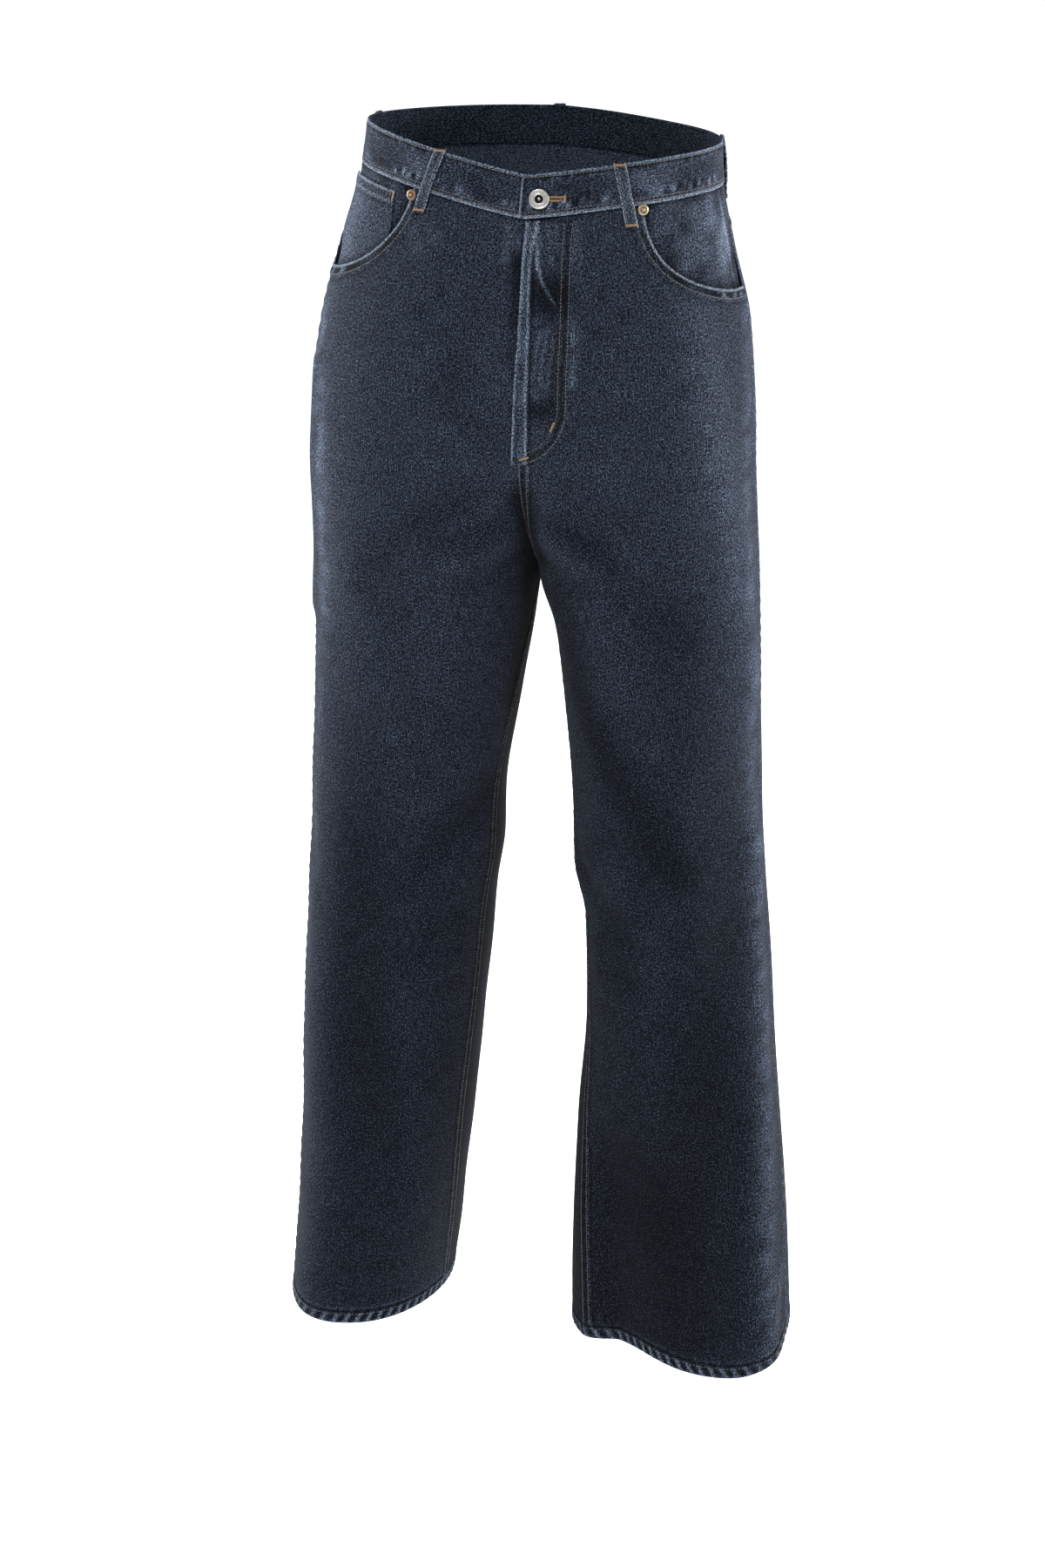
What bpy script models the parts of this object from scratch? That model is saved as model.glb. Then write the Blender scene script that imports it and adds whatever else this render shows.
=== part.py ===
# Wide leg jeans in denim, with a button fly and five pockets, filled out as when worn.
#
# Frame: metres, +Z up, the front faces -Y, the wearer's left is +X. The origin is the
# centre of the waist opening, where a wearer holds the garment up.
#
# The body of the cloth is worked out from horizontal sections. Each side of the garment
# has one half section at every height: a line that starts at the front centre seam (or
# the inseam, below the fork), goes round the front to the side seam and on round the
# back to the back centre seam (or the inseam). A place on the cloth is named by its
# side, its run along that line and its height, and may be moved out along the normal.
# Every piece of cloth is cut as a flat slab and then wrapped to such places.

import math
from collections import namedtuple
from functools import lru_cache

import bmesh
import bpy
import numpy as np
from mathutils import Matrix, Vector

COLLECTION_NAME = "wide_leg_jeans"

# Cloth and seams
CLOTH = 0.0015            # one layer of heavy denim
GAP = 0.0003              # clearance between neighbouring pieces
LAYER_GAP = 0.0005        # clearance between small pieces that lie on each other
PATCH_GAP = 0.0008        # the same under the fly and the back pockets
SEAM_FORWARD = 0.012      # the side seam lies this far in front of the outermost line

# Waistband
BAND_HEIGHT = 0.0365
BAND_PROUD = 0.0007       # its face stands this far outside the panels
BAND_THICK = 0.0026
BAND_UNDER_COLUMNS = 2    # columns of the left front that the under end runs along
BAND_LAP_OVER = 0.004     # how far the buttoned end runs past the centre
BAND_LAP_RISE = 0.048     # length over which the buttoned end climbs onto the other

# Height of the waistband's top edge above the origin
WAIST_TOP_SIDE = {"right": 0.010, "left": -0.008}
WAIST_TOP_FRONT = -0.0250
WAIST_TOP_BACK = 0.010
WAIST_DIP = 1.6           # how late the edge turns down towards the centre
WAIST_VEE = 1.15          # 1 makes a point of the edge at the centre, 2 rounds it

# Fork of the legs
FORK_Z = -0.385
FRONT_RISE_Z = -0.255     # below this the front centre seam curves under
BACK_RISE_Z = -0.215      # the same for the back centre seam
HIP_Z = -0.250            # from here down all panels share their rows of points
FORK_BAND = (-0.290, -0.405)  # heights between which the columns are evened out

# Hip pockets
Scoop = namedtuple("Scoop", "span drop curve")  # along the waist seam, down the side seam,
SCOOPS = {                # and the exponent of the curve, 1 straight and 2 elliptical
    "right": Scoop(0.104, 0.090, 1.90),
    "left": Scoop(0.107, 0.085, 2.3),
}
MOUTH_HEM = 0.009         # width of the turned edge of the scoop
MOUTH_PROUD = 0.0008
FACING_UNDERLAP = 0.022   # how far the facing runs on under the front
FACING_GAP = 0.0010       # between the front and what lies in the pocket's mouth
COIN_NEAR = 0.012         # coin pocket's edges, from the side seam
COIN_FAR = 0.086
COIN_BELOW_SEAM = 0.0080
COIN_HEM = 0.010
COIN_THICK = 0.0013
COIN_GAP = 0.0007

# Fly
FLY_WIDTH = 0.0405
FLY_PAST_TOP = 0.0003     # the folded edge laps onto the other front by this at its top
FLY_PAST_BOTTOM = 0.003   # and by this at its foot
FLY_BOTTOM_Z = -0.268
FLY_CURVE = 0.050         # height of the rounded bottom of the fly
FLY_EDGE = 0.008          # width of the thick folded edge
FLY_STEP = 0.0018         # over which the thick edge thins
FLY_THICK = 0.0010
FLY_TOP_GAP = 0.002       # between its top and the waistband
FLY_EDGE_PROUD = 0.0008

# Back yoke and pockets
YOKE_SIDE = 0.036         # depth below the waist seam at the side
YOKE_CENTRE = 0.074       # and at the back centre
BACK_POCKET_WIDTH = 0.150
BACK_POCKET_TAPER = 0.014  # narrower at the bottom by this on each side
BACK_POCKET_SIDE = 0.150  # length of its straight sides
BACK_POCKET_POINT = 0.024  # how far its pointed bottom runs on
BACK_POCKET_BELOW_YOKE = 0.030
BACK_POCKET_MIDDLE = 0.52  # place across the back panel, from side seam to centre
BACK_POCKET_HEM = 0.022
PATCH_THICK = 0.0013

# Hems
HEM_HEIGHT = 0.012
HEM_PROUD = 0.0005
HEM_THICK = 0.0028

# Belt loops
LOOP_WIDTH = 0.0105
LOOP_THICK = 0.0018
LOOP_ARCH = 0.0020        # slack over the middle of the waistband
LOOP_STEP = 0.003         # it leaves the waistband this far below the waist seam
LOOP_ABOVE = 0.0005       # its top end, from the waistband's top edge
LOOP_BELOW = 0.017        # its bottom end, below the waist seam

# Metal
BUTTON_RADIUS = 0.0085
BUTTON_HEIGHT = 0.0046
BUTTON_FROM_CENTRE = 0.0120
BUTTON_DOWN = 0.0195      # below the waistband's top edge
RIVET_RADIUS = 0.00475
RIVET_HEIGHT = 0.0012

# Shape of the sections: exponent of their quarter arcs, 2 is an ellipse
ROUNDNESS = 2.15
ARC_POINTS = 25

# One section: z is its height. The rest are the four extreme points of the half section,
# with x measured outwards from the middle plane: outermost x and y, innermost x and y,
# frontmost x and y, rearmost x and y. Above the fork the innermost x is 0.
Section = namedtuple("Section", "z outer outer_y inner inner_y front_x front_y back_x back_y")

TRUNK = [
    Section(0.050, 0.150, 0.000, 0, 0, 0, -0.110, 0, 0.106),
    Section(0.000, 0.154, 0.000, 0, 0, 0, -0.112, 0, 0.112),
    Section(-0.040, 0.1585, 0.000, 0, 0, 0, -0.115, 0, 0.118),
    Section(-0.100, 0.1735, 0.000, 0, 0, 0, -0.119, 0, 0.127),
    Section(-0.160, 0.190, 0.000, 0, 0, 0, -0.122, 0, 0.136),
    Section(-0.210, 0.196, 0.000, 0, 0, 0, -0.123, 0, 0.140),
]

LEGS = {
    "right": TRUNK + [
        Section(-0.260, 0.1995, 0.000, 0.000, 0.004, 0.012, -0.1235, 0.018, 0.1375),
        Section(-0.320, 0.2020, 0.000, 0.000, 0.006, 0.040, -0.1220, 0.050, 0.1280),
        Section(-0.385, 0.2040, 0.000, 0.000, 0.008, 0.074, -0.1190, 0.082, 0.1185),
        Section(-0.430, 0.206, 0.000, 0.004, 0.008, 0.092, -0.1155, 0.096, 0.1145),
        Section(-0.500, 0.2085, 0.001, 0.018, 0.006, 0.112, -0.108, 0.108, 0.110),
        Section(-0.600, 0.2135, 0.001, 0.033, 0.004, 0.126, -0.101, 0.118, 0.104),
        Section(-0.650, 0.216, 0.000, 0.0345, 0.003, 0.131, -0.098, 0.123, 0.102),
        Section(-0.700, 0.219, 0.000, 0.0415, 0.002, 0.135, -0.096, 0.128, 0.100),
        Section(-0.800, 0.225, -0.002, 0.051, 0.000, 0.144, -0.094, 0.135, 0.098),
        Section(-0.900, 0.228, -0.005, 0.062, -0.002, 0.154, -0.093, 0.142, 0.096),
        Section(-1.000, 0.233, -0.008, 0.073, 0.006, 0.166, -0.094, 0.150, 0.096),
        Section(-1.130, 0.244, -0.012, 0.091, 0.018, 0.186, -0.097, 0.158, 0.095),
    ],
    "left": TRUNK + [
        Section(-0.260, 0.198, -0.001, 0.000, 0.004, 0.012, -0.1235, 0.018, 0.1375),
        Section(-0.320, 0.1985, -0.003, 0.000, 0.006, 0.040, -0.1220, 0.050, 0.1280),
        Section(-0.385, 0.1995, -0.008, 0.000, 0.008, 0.074, -0.1220, 0.081, 0.1155),
        Section(-0.430, 0.200, -0.012, 0.011, 0.002, 0.091, -0.1235, 0.095, 0.1050),
        Section(-0.500, 0.202, -0.020, 0.024, -0.008, 0.109, -0.127, 0.107, 0.088),
        Section(-0.600, 0.207, -0.032, 0.034, -0.022, 0.122, -0.132, 0.117, 0.068),
        Section(-0.650, 0.211, -0.038, 0.0355, -0.029, 0.127, -0.135, 0.122, 0.060),
        Section(-0.700, 0.215, -0.044, 0.0465, -0.036, 0.132, -0.138, 0.126, 0.052),
        Section(-0.800, 0.223, -0.058, 0.049, -0.046, 0.144, -0.142, 0.131, 0.040),
        Section(-0.900, 0.232, -0.070, 0.043, -0.054, 0.156, -0.145, 0.132, 0.026),
        Section(-1.000, 0.241, -0.082, 0.039, -0.060, 0.170, -0.148, 0.128, 0.014),
        Section(-1.130, 0.247, -0.084, 0.040, -0.062, 0.196, -0.153, 0.122, 0.004),
    ],
}

# The middle plane sways a little with the stance
Midline = namedtuple("Midline", "z x")
MIDLINE = [
    Midline(0.050, -0.005),
    Midline(0.000, -0.0065),
    Midline(-0.050, -0.0102),
    Midline(-0.100, -0.0132),
    Midline(-0.150, -0.0140),
    Midline(-0.210, -0.0158),
    Midline(-0.270, -0.0158),
    Midline(-0.330, -0.0128),
    Midline(-0.385, -0.0098),
    Midline(-0.450, -0.0088),
    Midline(-1.200, -0.0088),
]

# How far the inseam lies in front of the legs' innermost line
Inseam = namedtuple("Inseam", "z right left")
INSEAM_FORWARD = [
    Inseam(-0.385, 0.000, 0.000),
    Inseam(-0.430, 0.012, 0.007),
    Inseam(-0.500, 0.027, 0.015),
    Inseam(-0.600, 0.034, 0.022),
    Inseam(-0.750, 0.036, 0.030),
    Inseam(-0.950, 0.036, 0.039),
    Inseam(-1.130, 0.031, 0.044),
]

# Height of the hem's lowest edge at the side seam and the inseam, and how far the
# front and the back hang below (negative) or above that, the front most of all at the
# share front_low of the way from side seam to inseam
HemLine = namedtuple("HemLine", "outer inner front front_low back")
HEM_LINES = {
    "right": HemLine(-1.115, -1.112, -0.006, 0.50, -0.002),
    "left": HemLine(-1.100, -1.114, -0.018, 0.37, 0.004),
}

# Large folds: a ridge (height above 0) or a trough (below 0) from one place to another.
# run is metres round from the side seam, negative to the front, positive to the back.
Fold = namedtuple("Fold", "side run0 z0 run1 z1 width height")
FOLDS = [
    # front, wearer's left
    Fold("left", -0.085, -0.150, -0.030, -0.480, 0.022, 0.0045),
    Fold("left", -0.125, -0.420, -0.050, -0.700, 0.040, -0.0050),
    Fold("left", -0.030, -0.620, -0.045, -1.100, 0.020, 0.0060),
    Fold("left", -0.085, -0.700, -0.105, -1.080, 0.030, -0.0050),
    Fold("left", -0.250, -0.640, -0.190, -0.690, 0.018, -0.0040),
    Fold("left", -0.200, -0.330, -0.120, -0.420, 0.020, -0.0030),
    Fold("left", -0.190, -0.960, -0.200, -1.130, 0.055, -0.0200),
    # front, wearer's right
    Fold("right", -0.020, -0.200, -0.024, -0.420, 0.010, 0.0030),
    Fold("right", -0.205, -0.110, -0.190, -0.190, 0.014, -0.0035),
    Fold("right", -0.190, -0.290, -0.120, -0.380, 0.020, -0.0035),
    Fold("right", -0.100, -0.520, -0.125, -0.900, 0.030, -0.0030),
    Fold("right", -0.060, -0.760, -0.070, -1.100, 0.026, 0.0035),
    Fold("right", -0.235, -0.600, -0.180, -0.640, 0.016, -0.0040),
    # back, below the seat and down the legs
    Fold("right", 0.090, -0.330, 0.190, -0.360, 0.020, -0.0050),
    Fold("right", 0.070, -0.400, 0.200, -0.440, 0.022, -0.0040),
    Fold("right", 0.130, -0.480, 0.120, -0.900, 0.030, -0.0045),
    Fold("right", 0.060, -0.560, 0.070, -1.100, 0.026, 0.0045),
    Fold("right", 0.190, -0.640, 0.180, -1.050, 0.026, 0.0040),
    Fold("left", 0.080, -0.330, 0.180, -0.370, 0.020, -0.0045),
    Fold("left", 0.090, -0.410, 0.200, -0.440, 0.022, -0.0045),
    Fold("left", 0.150, -0.500, 0.110, -0.920, 0.030, -0.0055),
    Fold("left", 0.070, -0.540, 0.050, -1.100, 0.026, 0.0050),
    Fold("left", 0.200, -0.660, 0.170, -1.080, 0.026, 0.0045),
]
FOLD_FADE = 0.035         # folds die out over this distance from the inner seams

# Heights of the rows that all four panels share, built up by steps
FORK_ROWS = 7
LEG_STEP = 0.048
HEM_BLEND_Z = -0.900      # below this the rows turn to follow the hem

FRONT_COLUMNS = 16
POCKET_COLUMNS = 8
BACK_COLUMNS = 16
SIDE_COLUMNS = FRONT_COLUMNS + BACK_COLUMNS


def smooth(x):
    """0 below 0, 1 above 1, with a soft step between."""
    x = min(max(x, 0.0), 1.0)
    return x * x * (3 - 2 * x)


def value_at(table, column, z):
    """A smooth curve through one column of a table whose rows go down in z."""
    rows = [(row.z, getattr(row, column)) for row in table]
    if z >= rows[0][0]:
        return rows[0][1]
    if z <= rows[-1][0]:
        return rows[-1][1]
    i = next(k for k in range(len(rows) - 1) if rows[k + 1][0] <= z)
    slopes = [
        (rows[k + 1][1] - rows[k][1]) / (rows[k + 1][0] - rows[k][0])
        for k in range(len(rows) - 1)
    ]

    def tangent(k):
        before = slopes[max(k - 1, 0)]
        after = slopes[min(k, len(slopes) - 1)]
        return 0.0 if before * after <= 0 else 2 * before * after / (before + after)

    (z0, a), (z1, b) = rows[i], rows[i + 1]
    span = z1 - z0
    t = (z - z0) / span
    return (
        a * (1 + 2 * t) * (1 - t) ** 2
        + b * t * t * (3 - 2 * t)
        + span * (tangent(i) * t * (1 - t) ** 2 - tangent(i + 1) * t * t * (1 - t))
    )


def fork_share(start_z, z):
    """How much of a leg's inner arc is there at height z: none down to where the centre
    seam starts to curve under, all of it from the fork down."""
    down = min(max((start_z - z) / (start_z - FORK_Z), 1e-3), 1.0)
    return 1 - (1 - down) ** 1.5


@lru_cache(maxsize=None)
def half_section(side, z):
    """Points of the half section (x outwards from the middle plane, y), the run to
    each, and the run to the side seam."""
    table = LEGS[side]
    at = {name: value_at(table, name, z) for name in Section._fields[1:]}
    inner = max(at["inner"], 0.0) + GAP / 2
    power = 2 / ROUNDNESS

    def inner_arc(peak_x, peak_y, start_z):
        # from the extreme point in towards the inseam, cut off at the middle plane
        peak_x = max(peak_x, inner)
        share = fork_share(start_z, z)
        t = np.linspace(0, math.asin(share ** (1 / power)), ARC_POINTS)
        x = peak_x + (inner - peak_x) / share * np.sin(t) ** power
        y = at["inner_y"] + (peak_y - at["inner_y"]) * np.cos(t) ** power
        return x, y

    def outer_arc(peak_x, peak_y):
        # from the extreme point out to the outermost one
        peak_x = max(peak_x, inner)
        t = np.linspace(0, math.pi / 2, ARC_POINTS)
        x = peak_x + (at["outer"] - peak_x) * np.sin(t) ** power
        y = at["outer_y"] + (peak_y - at["outer_y"]) * np.cos(t) ** power
        return x, y

    fx, fy = inner_arc(at["front_x"], at["front_y"], FRONT_RISE_Z)
    ox, oy = outer_arc(at["front_x"], at["front_y"])
    px, py = outer_arc(at["back_x"], at["back_y"])
    bx, by = inner_arc(at["back_x"], at["back_y"], BACK_RISE_Z)
    x = np.concatenate([fx[::-1], ox[1:], px[::-1][1:], bx[1:]])
    y = np.concatenate([fy[::-1], oy[1:], py[::-1][1:], by[1:]])
    run = np.concatenate([[0.0], np.cumsum(np.hypot(np.diff(x), np.diff(y)))])
    seam = run[2 * ARC_POINTS - 2] - SEAM_FORWARD
    forward = value_at(INSEAM_FORWARD, side, z)
    if forward > 0:
        # the section is closed here, so what lies behind the inseam joins the back
        stops = np.unique(np.append(run, forward))
        x, y = np.interp(stops, run, x), np.interp(stops, run, y)
        start = np.searchsorted(stops, forward)
        x = np.concatenate([x[start:], x[1 : start + 1]])
        y = np.concatenate([y[start:], y[1 : start + 1]])
        run = np.concatenate([stops[start:] - forward, stops[1 : start + 1] + run[-1] - forward])
        seam -= forward
    return x, y, run, seam


def fold_height(side, run_from_seam, z, to_inner_seam):
    """How far the folds move the cloth out at a place."""
    total = 0.0
    for fold in FOLDS:
        if fold.side != side:
            continue
        along = np.array([fold.run1 - fold.run0, fold.z1 - fold.z0])
        here = np.array([run_from_seam - fold.run0, z - fold.z0])
        t = min(max(here.dot(along) / along.dot(along), 0.0), 1.0)
        distance = np.linalg.norm(here - t * along)
        total += fold.height * math.exp(-((distance / fold.width) ** 2))
    return total * smooth(to_inner_seam / FOLD_FADE)


def cloth_at(side, run, z, out=0.0):
    """The place on the cloth at a run along the half section, moved out by out."""
    x, y, runs, seam = half_section(side, z)
    share = run / runs[-1]

    def flat(height):
        xs, ys, rs, _ = half_section(side, height)
        at = share * rs[-1]
        return np.interp(at, rs, xs), np.interp(at, rs, ys)

    px, py = np.interp(run, runs, x), np.interp(run, runs, y)
    reach = 0.004
    ahead, behind = min(run + reach, runs[-1]), max(run - reach, 0.0)
    tx = np.interp(ahead, runs, x) - np.interp(behind, runs, x)
    ty = np.interp(ahead, runs, y) - np.interp(behind, runs, y)
    length = math.hypot(tx, ty)
    tx, ty = tx / length, ty / length
    step = 0.004
    (x1, y1), (x0, y0) = flat(z + step), flat(z - step)
    slope = (ty * (x1 - x0) - tx * (y1 - y0)) / (2 * step)
    slope = min(max(slope, -0.8), 0.8)
    normal = np.array([ty, -tx, -slope])
    normal /= np.linalg.norm(normal)

    out += fold_height(side, run - seam, z, min(run, runs[-1] - run))
    point = np.array([px, py, z]) + out * normal
    sign = -1 if side == "right" else 1
    middle = value_at(MIDLINE, "x", z)
    return (
        Vector((middle + sign * point[0], point[1], point[2])),
        Vector((sign * normal[0], normal[1], normal[2])),
    )


def panel_length(side, panel, z):
    _, _, runs, seam = half_section(side, z)
    return seam if panel == "front" else runs[-1] - seam


def panel_run(side, panel, u, z):
    """Run along the half section at the share u from the side seam to the inner seam.
    Near the fork the inner edge moves fast, and only the inmost shares follow it."""
    length = panel_length(side, panel, z)
    even = length
    if FORK_BAND[1] < z < FORK_BAND[0]:
        top, bottom = (panel_length(side, panel, edge) for edge in FORK_BAND)
        even = top + (bottom - top) * smooth((FORK_BAND[0] - z) / (FORK_BAND[0] - FORK_BAND[1]))
    distance = u * even + (length - even) * smooth((u - 0.7) / 0.3)
    distance = GAP / 2 + distance * (length - GAP) / length
    seam = half_section(side, z)[3]
    return seam - distance if panel == "front" else seam + distance


def on_panel(side, panel, u, z, out=0.0):
    return cloth_at(side, panel_run(side, panel, u, z), z, out)[0]


def band_edge(side, panel, u):
    """Height of the waistband's top edge over the share u of a panel."""
    middle = WAIST_TOP_FRONT if panel == "front" else WAIST_TOP_BACK
    side_z = WAIST_TOP_SIDE[side]
    return side_z + (middle - side_z) * (1 - max(1 - u**WAIST_DIP, 0.0) ** WAIST_VEE)


def waist_seam(side, panel, u):
    return band_edge(side, panel, u) - BAND_HEIGHT


def share_of(side, panel, distance, z):
    """The share u at a distance round from the side seam."""
    return distance / panel_length(side, panel, z)


def pocket_share(side):
    return share_of(side, "front", SCOOPS[side].span, waist_seam(side, "front", 0.4))


def scoop_edge(side, u):
    """Height of the pocket's scooped edge; the waist seam where there is no scoop."""
    top = waist_seam(side, "front", u)
    share = u / pocket_share(side)
    if share >= 1:
        return top
    scoop = SCOOPS[side]
    return top - scoop.drop * (1 - share**scoop.curve) ** (1 / scoop.curve)


def yoke_seam(side, u):
    return waist_seam(side, "back", u) - (YOKE_SIDE + (YOKE_CENTRE - YOKE_SIDE) * u)


def hem_edge(side, panel, u):
    line = HEM_LINES[side]
    level = line.outer + (line.inner - line.outer) * u
    if panel == "back":
        return level + line.back * math.sin(math.pi * u) ** 2
    turned = u ** (math.log(0.5) / math.log(line.front_low))
    return level + line.front * math.sin(math.pi * turned) ** 2


def shared_heights():
    """Row heights from the hip down: close together at the fork, then even."""
    span = HIP_Z - FORK_Z
    heights = [HIP_Z - span * math.sin(math.pi / 2 * k / FORK_ROWS) for k in range(1, FORK_ROWS + 1)]
    for below in (0.006, 0.018, 0.036, 0.064):
        heights.append(FORK_Z - below)
    while heights[-1] - LEG_STEP > -1.09:
        heights.append(heights[-1] - LEG_STEP)
    return heights


SHARED_HEIGHTS = shared_heights()


def leg_height(side, panel, u, row):
    """Height of a shared row; the lowest rows turn to follow the hem, the last ends there."""
    end = hem_edge(side, panel, u) + HEM_HEIGHT + GAP
    if row == len(SHARED_HEIGHTS):
        return end
    z = SHARED_HEIGHTS[row]
    if z >= HEM_BLEND_Z:
        return z
    level = SHARED_HEIGHTS[-1] - LEG_STEP
    share = (HEM_BLEND_Z - z) / (HEM_BLEND_Z - level)
    return z + (end - level) * share * share


# ---------------------------------------------------------------- making objects


def make_material(name, color, roughness, metallic=0.0):
    material = bpy.data.materials.new(name)
    material.use_nodes = True
    shader = material.node_tree.nodes["Principled BSDF"]
    shader.inputs["Base Color"].default_value = (*color, 1.0)
    shader.inputs["Roughness"].default_value = roughness
    shader.inputs["Metallic"].default_value = metallic
    return material


def add_object(name, bm, material, collection, smooth_faces=True):
    bmesh.ops.recalc_face_normals(bm, faces=bm.faces[:])
    if bm.calc_volume(signed=True) < 0:
        bmesh.ops.reverse_faces(bm, faces=bm.faces[:])
    mesh = bpy.data.meshes.new(name)
    bm.to_mesh(mesh)
    bm.free()
    mesh.materials.append(material)
    if smooth_faces:
        mesh.shade_smooth()
        mesh.set_sharp_from_angle(angle=math.radians(50))
    obj = bpy.data.objects.new(name, mesh)
    collection.objects.link(obj)
    return obj


def wrapped_slab(name, columns, rows, wrap, material, collection, closed=False):
    """A flat slab of cloth, wrapped: wrap(column, row, layer) gives each point's place,
    with column and row counted from 0 and layer 0 outside, 1 inside. A closed slab is a
    ring whose last column is its first."""
    bm = bmesh.new()
    bmesh.ops.create_grid(bm, x_segments=columns, y_segments=rows, size=0.5)
    bmesh.ops.translate(bm, verts=bm.verts[:], vec=(0.5, 0.5, 0))
    top = bmesh.ops.extrude_face_region(bm, geom=bm.faces[:])["geom"]
    bmesh.ops.translate(bm, verts=[v for v in top if isinstance(v, bmesh.types.BMVert)], vec=(0, 0, 1))
    if closed:
        ends = [
            f for f in bm.faces
            if all(v.co.x < 1e-6 for v in f.verts) or all(v.co.x > 1 - 1e-6 for v in f.verts)
        ]
        bmesh.ops.delete(bm, geom=ends, context="FACES_ONLY")
    for vert in bm.verts:
        column, row = round(vert.co.x * columns), round(vert.co.y * rows)
        vert.co = wrap(column % columns if closed else column, row, round(1 - vert.co.z))
    if closed:
        bmesh.ops.remove_doubles(bm, verts=bm.verts[:], dist=1e-7)
    return add_object(name, bm, material, collection)


def turned_piece(name, profile, place, axis, material, collection, steps=28):
    """A turned metal piece: profile points (radius, height) from the axis at the bottom
    round to the axis at the top, with its axis along axis from place."""
    bm = bmesh.new()
    verts = [bm.verts.new((radius, 0, height)) for radius, height in profile]
    edges = [bm.edges.new(pair) for pair in zip(verts, verts[1:])]
    bmesh.ops.spin(
        bm, geom=verts + edges, cent=(0, 0, 0), axis=(0, 0, 1),
        angle=2 * math.pi, steps=steps, use_merge=True,
    )
    bmesh.ops.remove_doubles(bm, verts=bm.verts[:], dist=1e-6)
    turn = Vector((0, 0, 1)).rotation_difference(axis).to_matrix().to_4x4()
    bmesh.ops.transform(bm, matrix=Matrix.Translation(place) @ turn, verts=bm.verts[:])
    return add_object(name, bm, material, collection)


# ------------------------------------------------------------------- the pieces


def front_share(side, column):
    """Shares of the front's columns: evenly spaced over the pocket, and over the rest."""
    edge = pocket_share(side)
    if column <= POCKET_COLUMNS:
        return edge * column / POCKET_COLUMNS
    return edge + (1 - edge) * (column - POCKET_COLUMNS) / (FRONT_COLUMNS - POCKET_COLUMNS)


def round_the_side(side, column):
    """Panel and share for a column counted from the front centre to the back centre, in
    line with the columns of the panels."""
    if column <= FRONT_COLUMNS:
        return "front", front_share(side, FRONT_COLUMNS - column)
    return "back", (column - FRONT_COLUMNS) / BACK_COLUMNS


def front_panel(side, material, collection):
    mouth_rows = (MOUTH_HEM, MOUTH_HEM + 0.002)
    upper_rows = 8

    def wrap(column, row, layer):
        u = front_share(side, column)
        top = scoop_edge(side, u) - GAP
        if row == 0:
            z = top
        elif row <= len(mouth_rows):
            z = top - mouth_rows[row - 1]
        elif row <= upper_rows:
            start = top - mouth_rows[-1]
            share = (row - len(mouth_rows)) / (upper_rows - len(mouth_rows))
            z = start + (HIP_Z - start) * share
        else:
            z = leg_height(side, "front", u, row - upper_rows - 1)
        in_mouth = row < 2 and column < POCKET_COLUMNS
        out = -CLOTH if layer else (MOUTH_PROUD if in_mouth else 0.0)
        return on_panel(side, "front", u, z, out)

    rows = upper_rows + 1 + len(SHARED_HEIGHTS)
    return wrapped_slab(f"front_{side}", FRONT_COLUMNS, rows, wrap, material, collection)


def back_panel(side, material, collection):
    upper_rows = 7

    def wrap(column, row, layer):
        u = column / BACK_COLUMNS
        top = yoke_seam(side, u) - GAP
        if row <= upper_rows:
            z = top + (HIP_Z - top) * row / upper_rows
        else:
            z = leg_height(side, "back", u, row - upper_rows - 1)
        return on_panel(side, "back", u, z, -CLOTH if layer else 0.0)

    rows = upper_rows + 1 + len(SHARED_HEIGHTS)
    return wrapped_slab(f"back_{side}", BACK_COLUMNS, rows, wrap, material, collection)


def yoke(side, material, collection):
    rows = 3

    def wrap(column, row, layer):
        u = column / BACK_COLUMNS
        top, bottom = waist_seam(side, "back", u) - GAP, yoke_seam(side, u)
        z = top + (bottom - top) * row / rows
        return on_panel(side, "back", u, z, -CLOTH if layer else 0.0)

    return wrapped_slab(f"yoke_{side}", BACK_COLUMNS, rows, wrap, material, collection)


def facing_depth(side, u, z):
    """How far the pocket facing lies inside the front's outer face."""
    layers = CLOTH + FACING_GAP
    if side == "right":
        layers += COIN_THICK + COIN_GAP
    above_edge = z - scoop_edge(side, u)
    return layers * (1 - smooth((above_edge - 0.004) / 0.040))


def pocket_facing(side, material, collection):
    rows = 10
    columns = POCKET_COLUMNS + 1

    def wrap(column, row, layer):
        u = front_share(side, column)
        top = waist_seam(side, "front", u) - GAP
        bottom = scoop_edge(side, u) - FACING_UNDERLAP
        z = top + (bottom - top) * row / rows
        out = -facing_depth(side, u, z) - (CLOTH if layer else 0.0)
        return on_panel(side, "front", u, z, out)

    return wrapped_slab(f"pocket_facing_{side}", columns, rows, wrap, material, collection)


def coin_pocket(material, collection):
    """The small pocket on the right facing; its hemmed top edge shows in the scoop."""
    side = "right"
    z = waist_seam(side, "front", 0.2)
    near, far = (share_of(side, "front", d, z) for d in (COIN_NEAR, COIN_FAR))
    columns, rows = 8, 6

    def wrap(column, row, layer):
        u = near + (far - near) * column / columns
        top = waist_seam(side, "front", u) - COIN_BELOW_SEAM
        bottom = min(scoop_edge(side, u) - 0.006, top - COIN_HEM - 0.006)
        if row <= 1:
            z = top - COIN_HEM * row
        else:
            z = top - COIN_HEM + (bottom - top + COIN_HEM) * (row - 1) / (rows - 1)
        out = COIN_GAP - facing_depth(side, u, z) + (0.0 if layer else COIN_THICK)
        return on_panel(side, "front", u, z, out)

    return wrapped_slab("coin_pocket", columns, rows, wrap, material, collection)


def lap_offset(past_start):
    return (BAND_THICK + GAP) * smooth(past_start / BAND_LAP_RISE)


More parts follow.
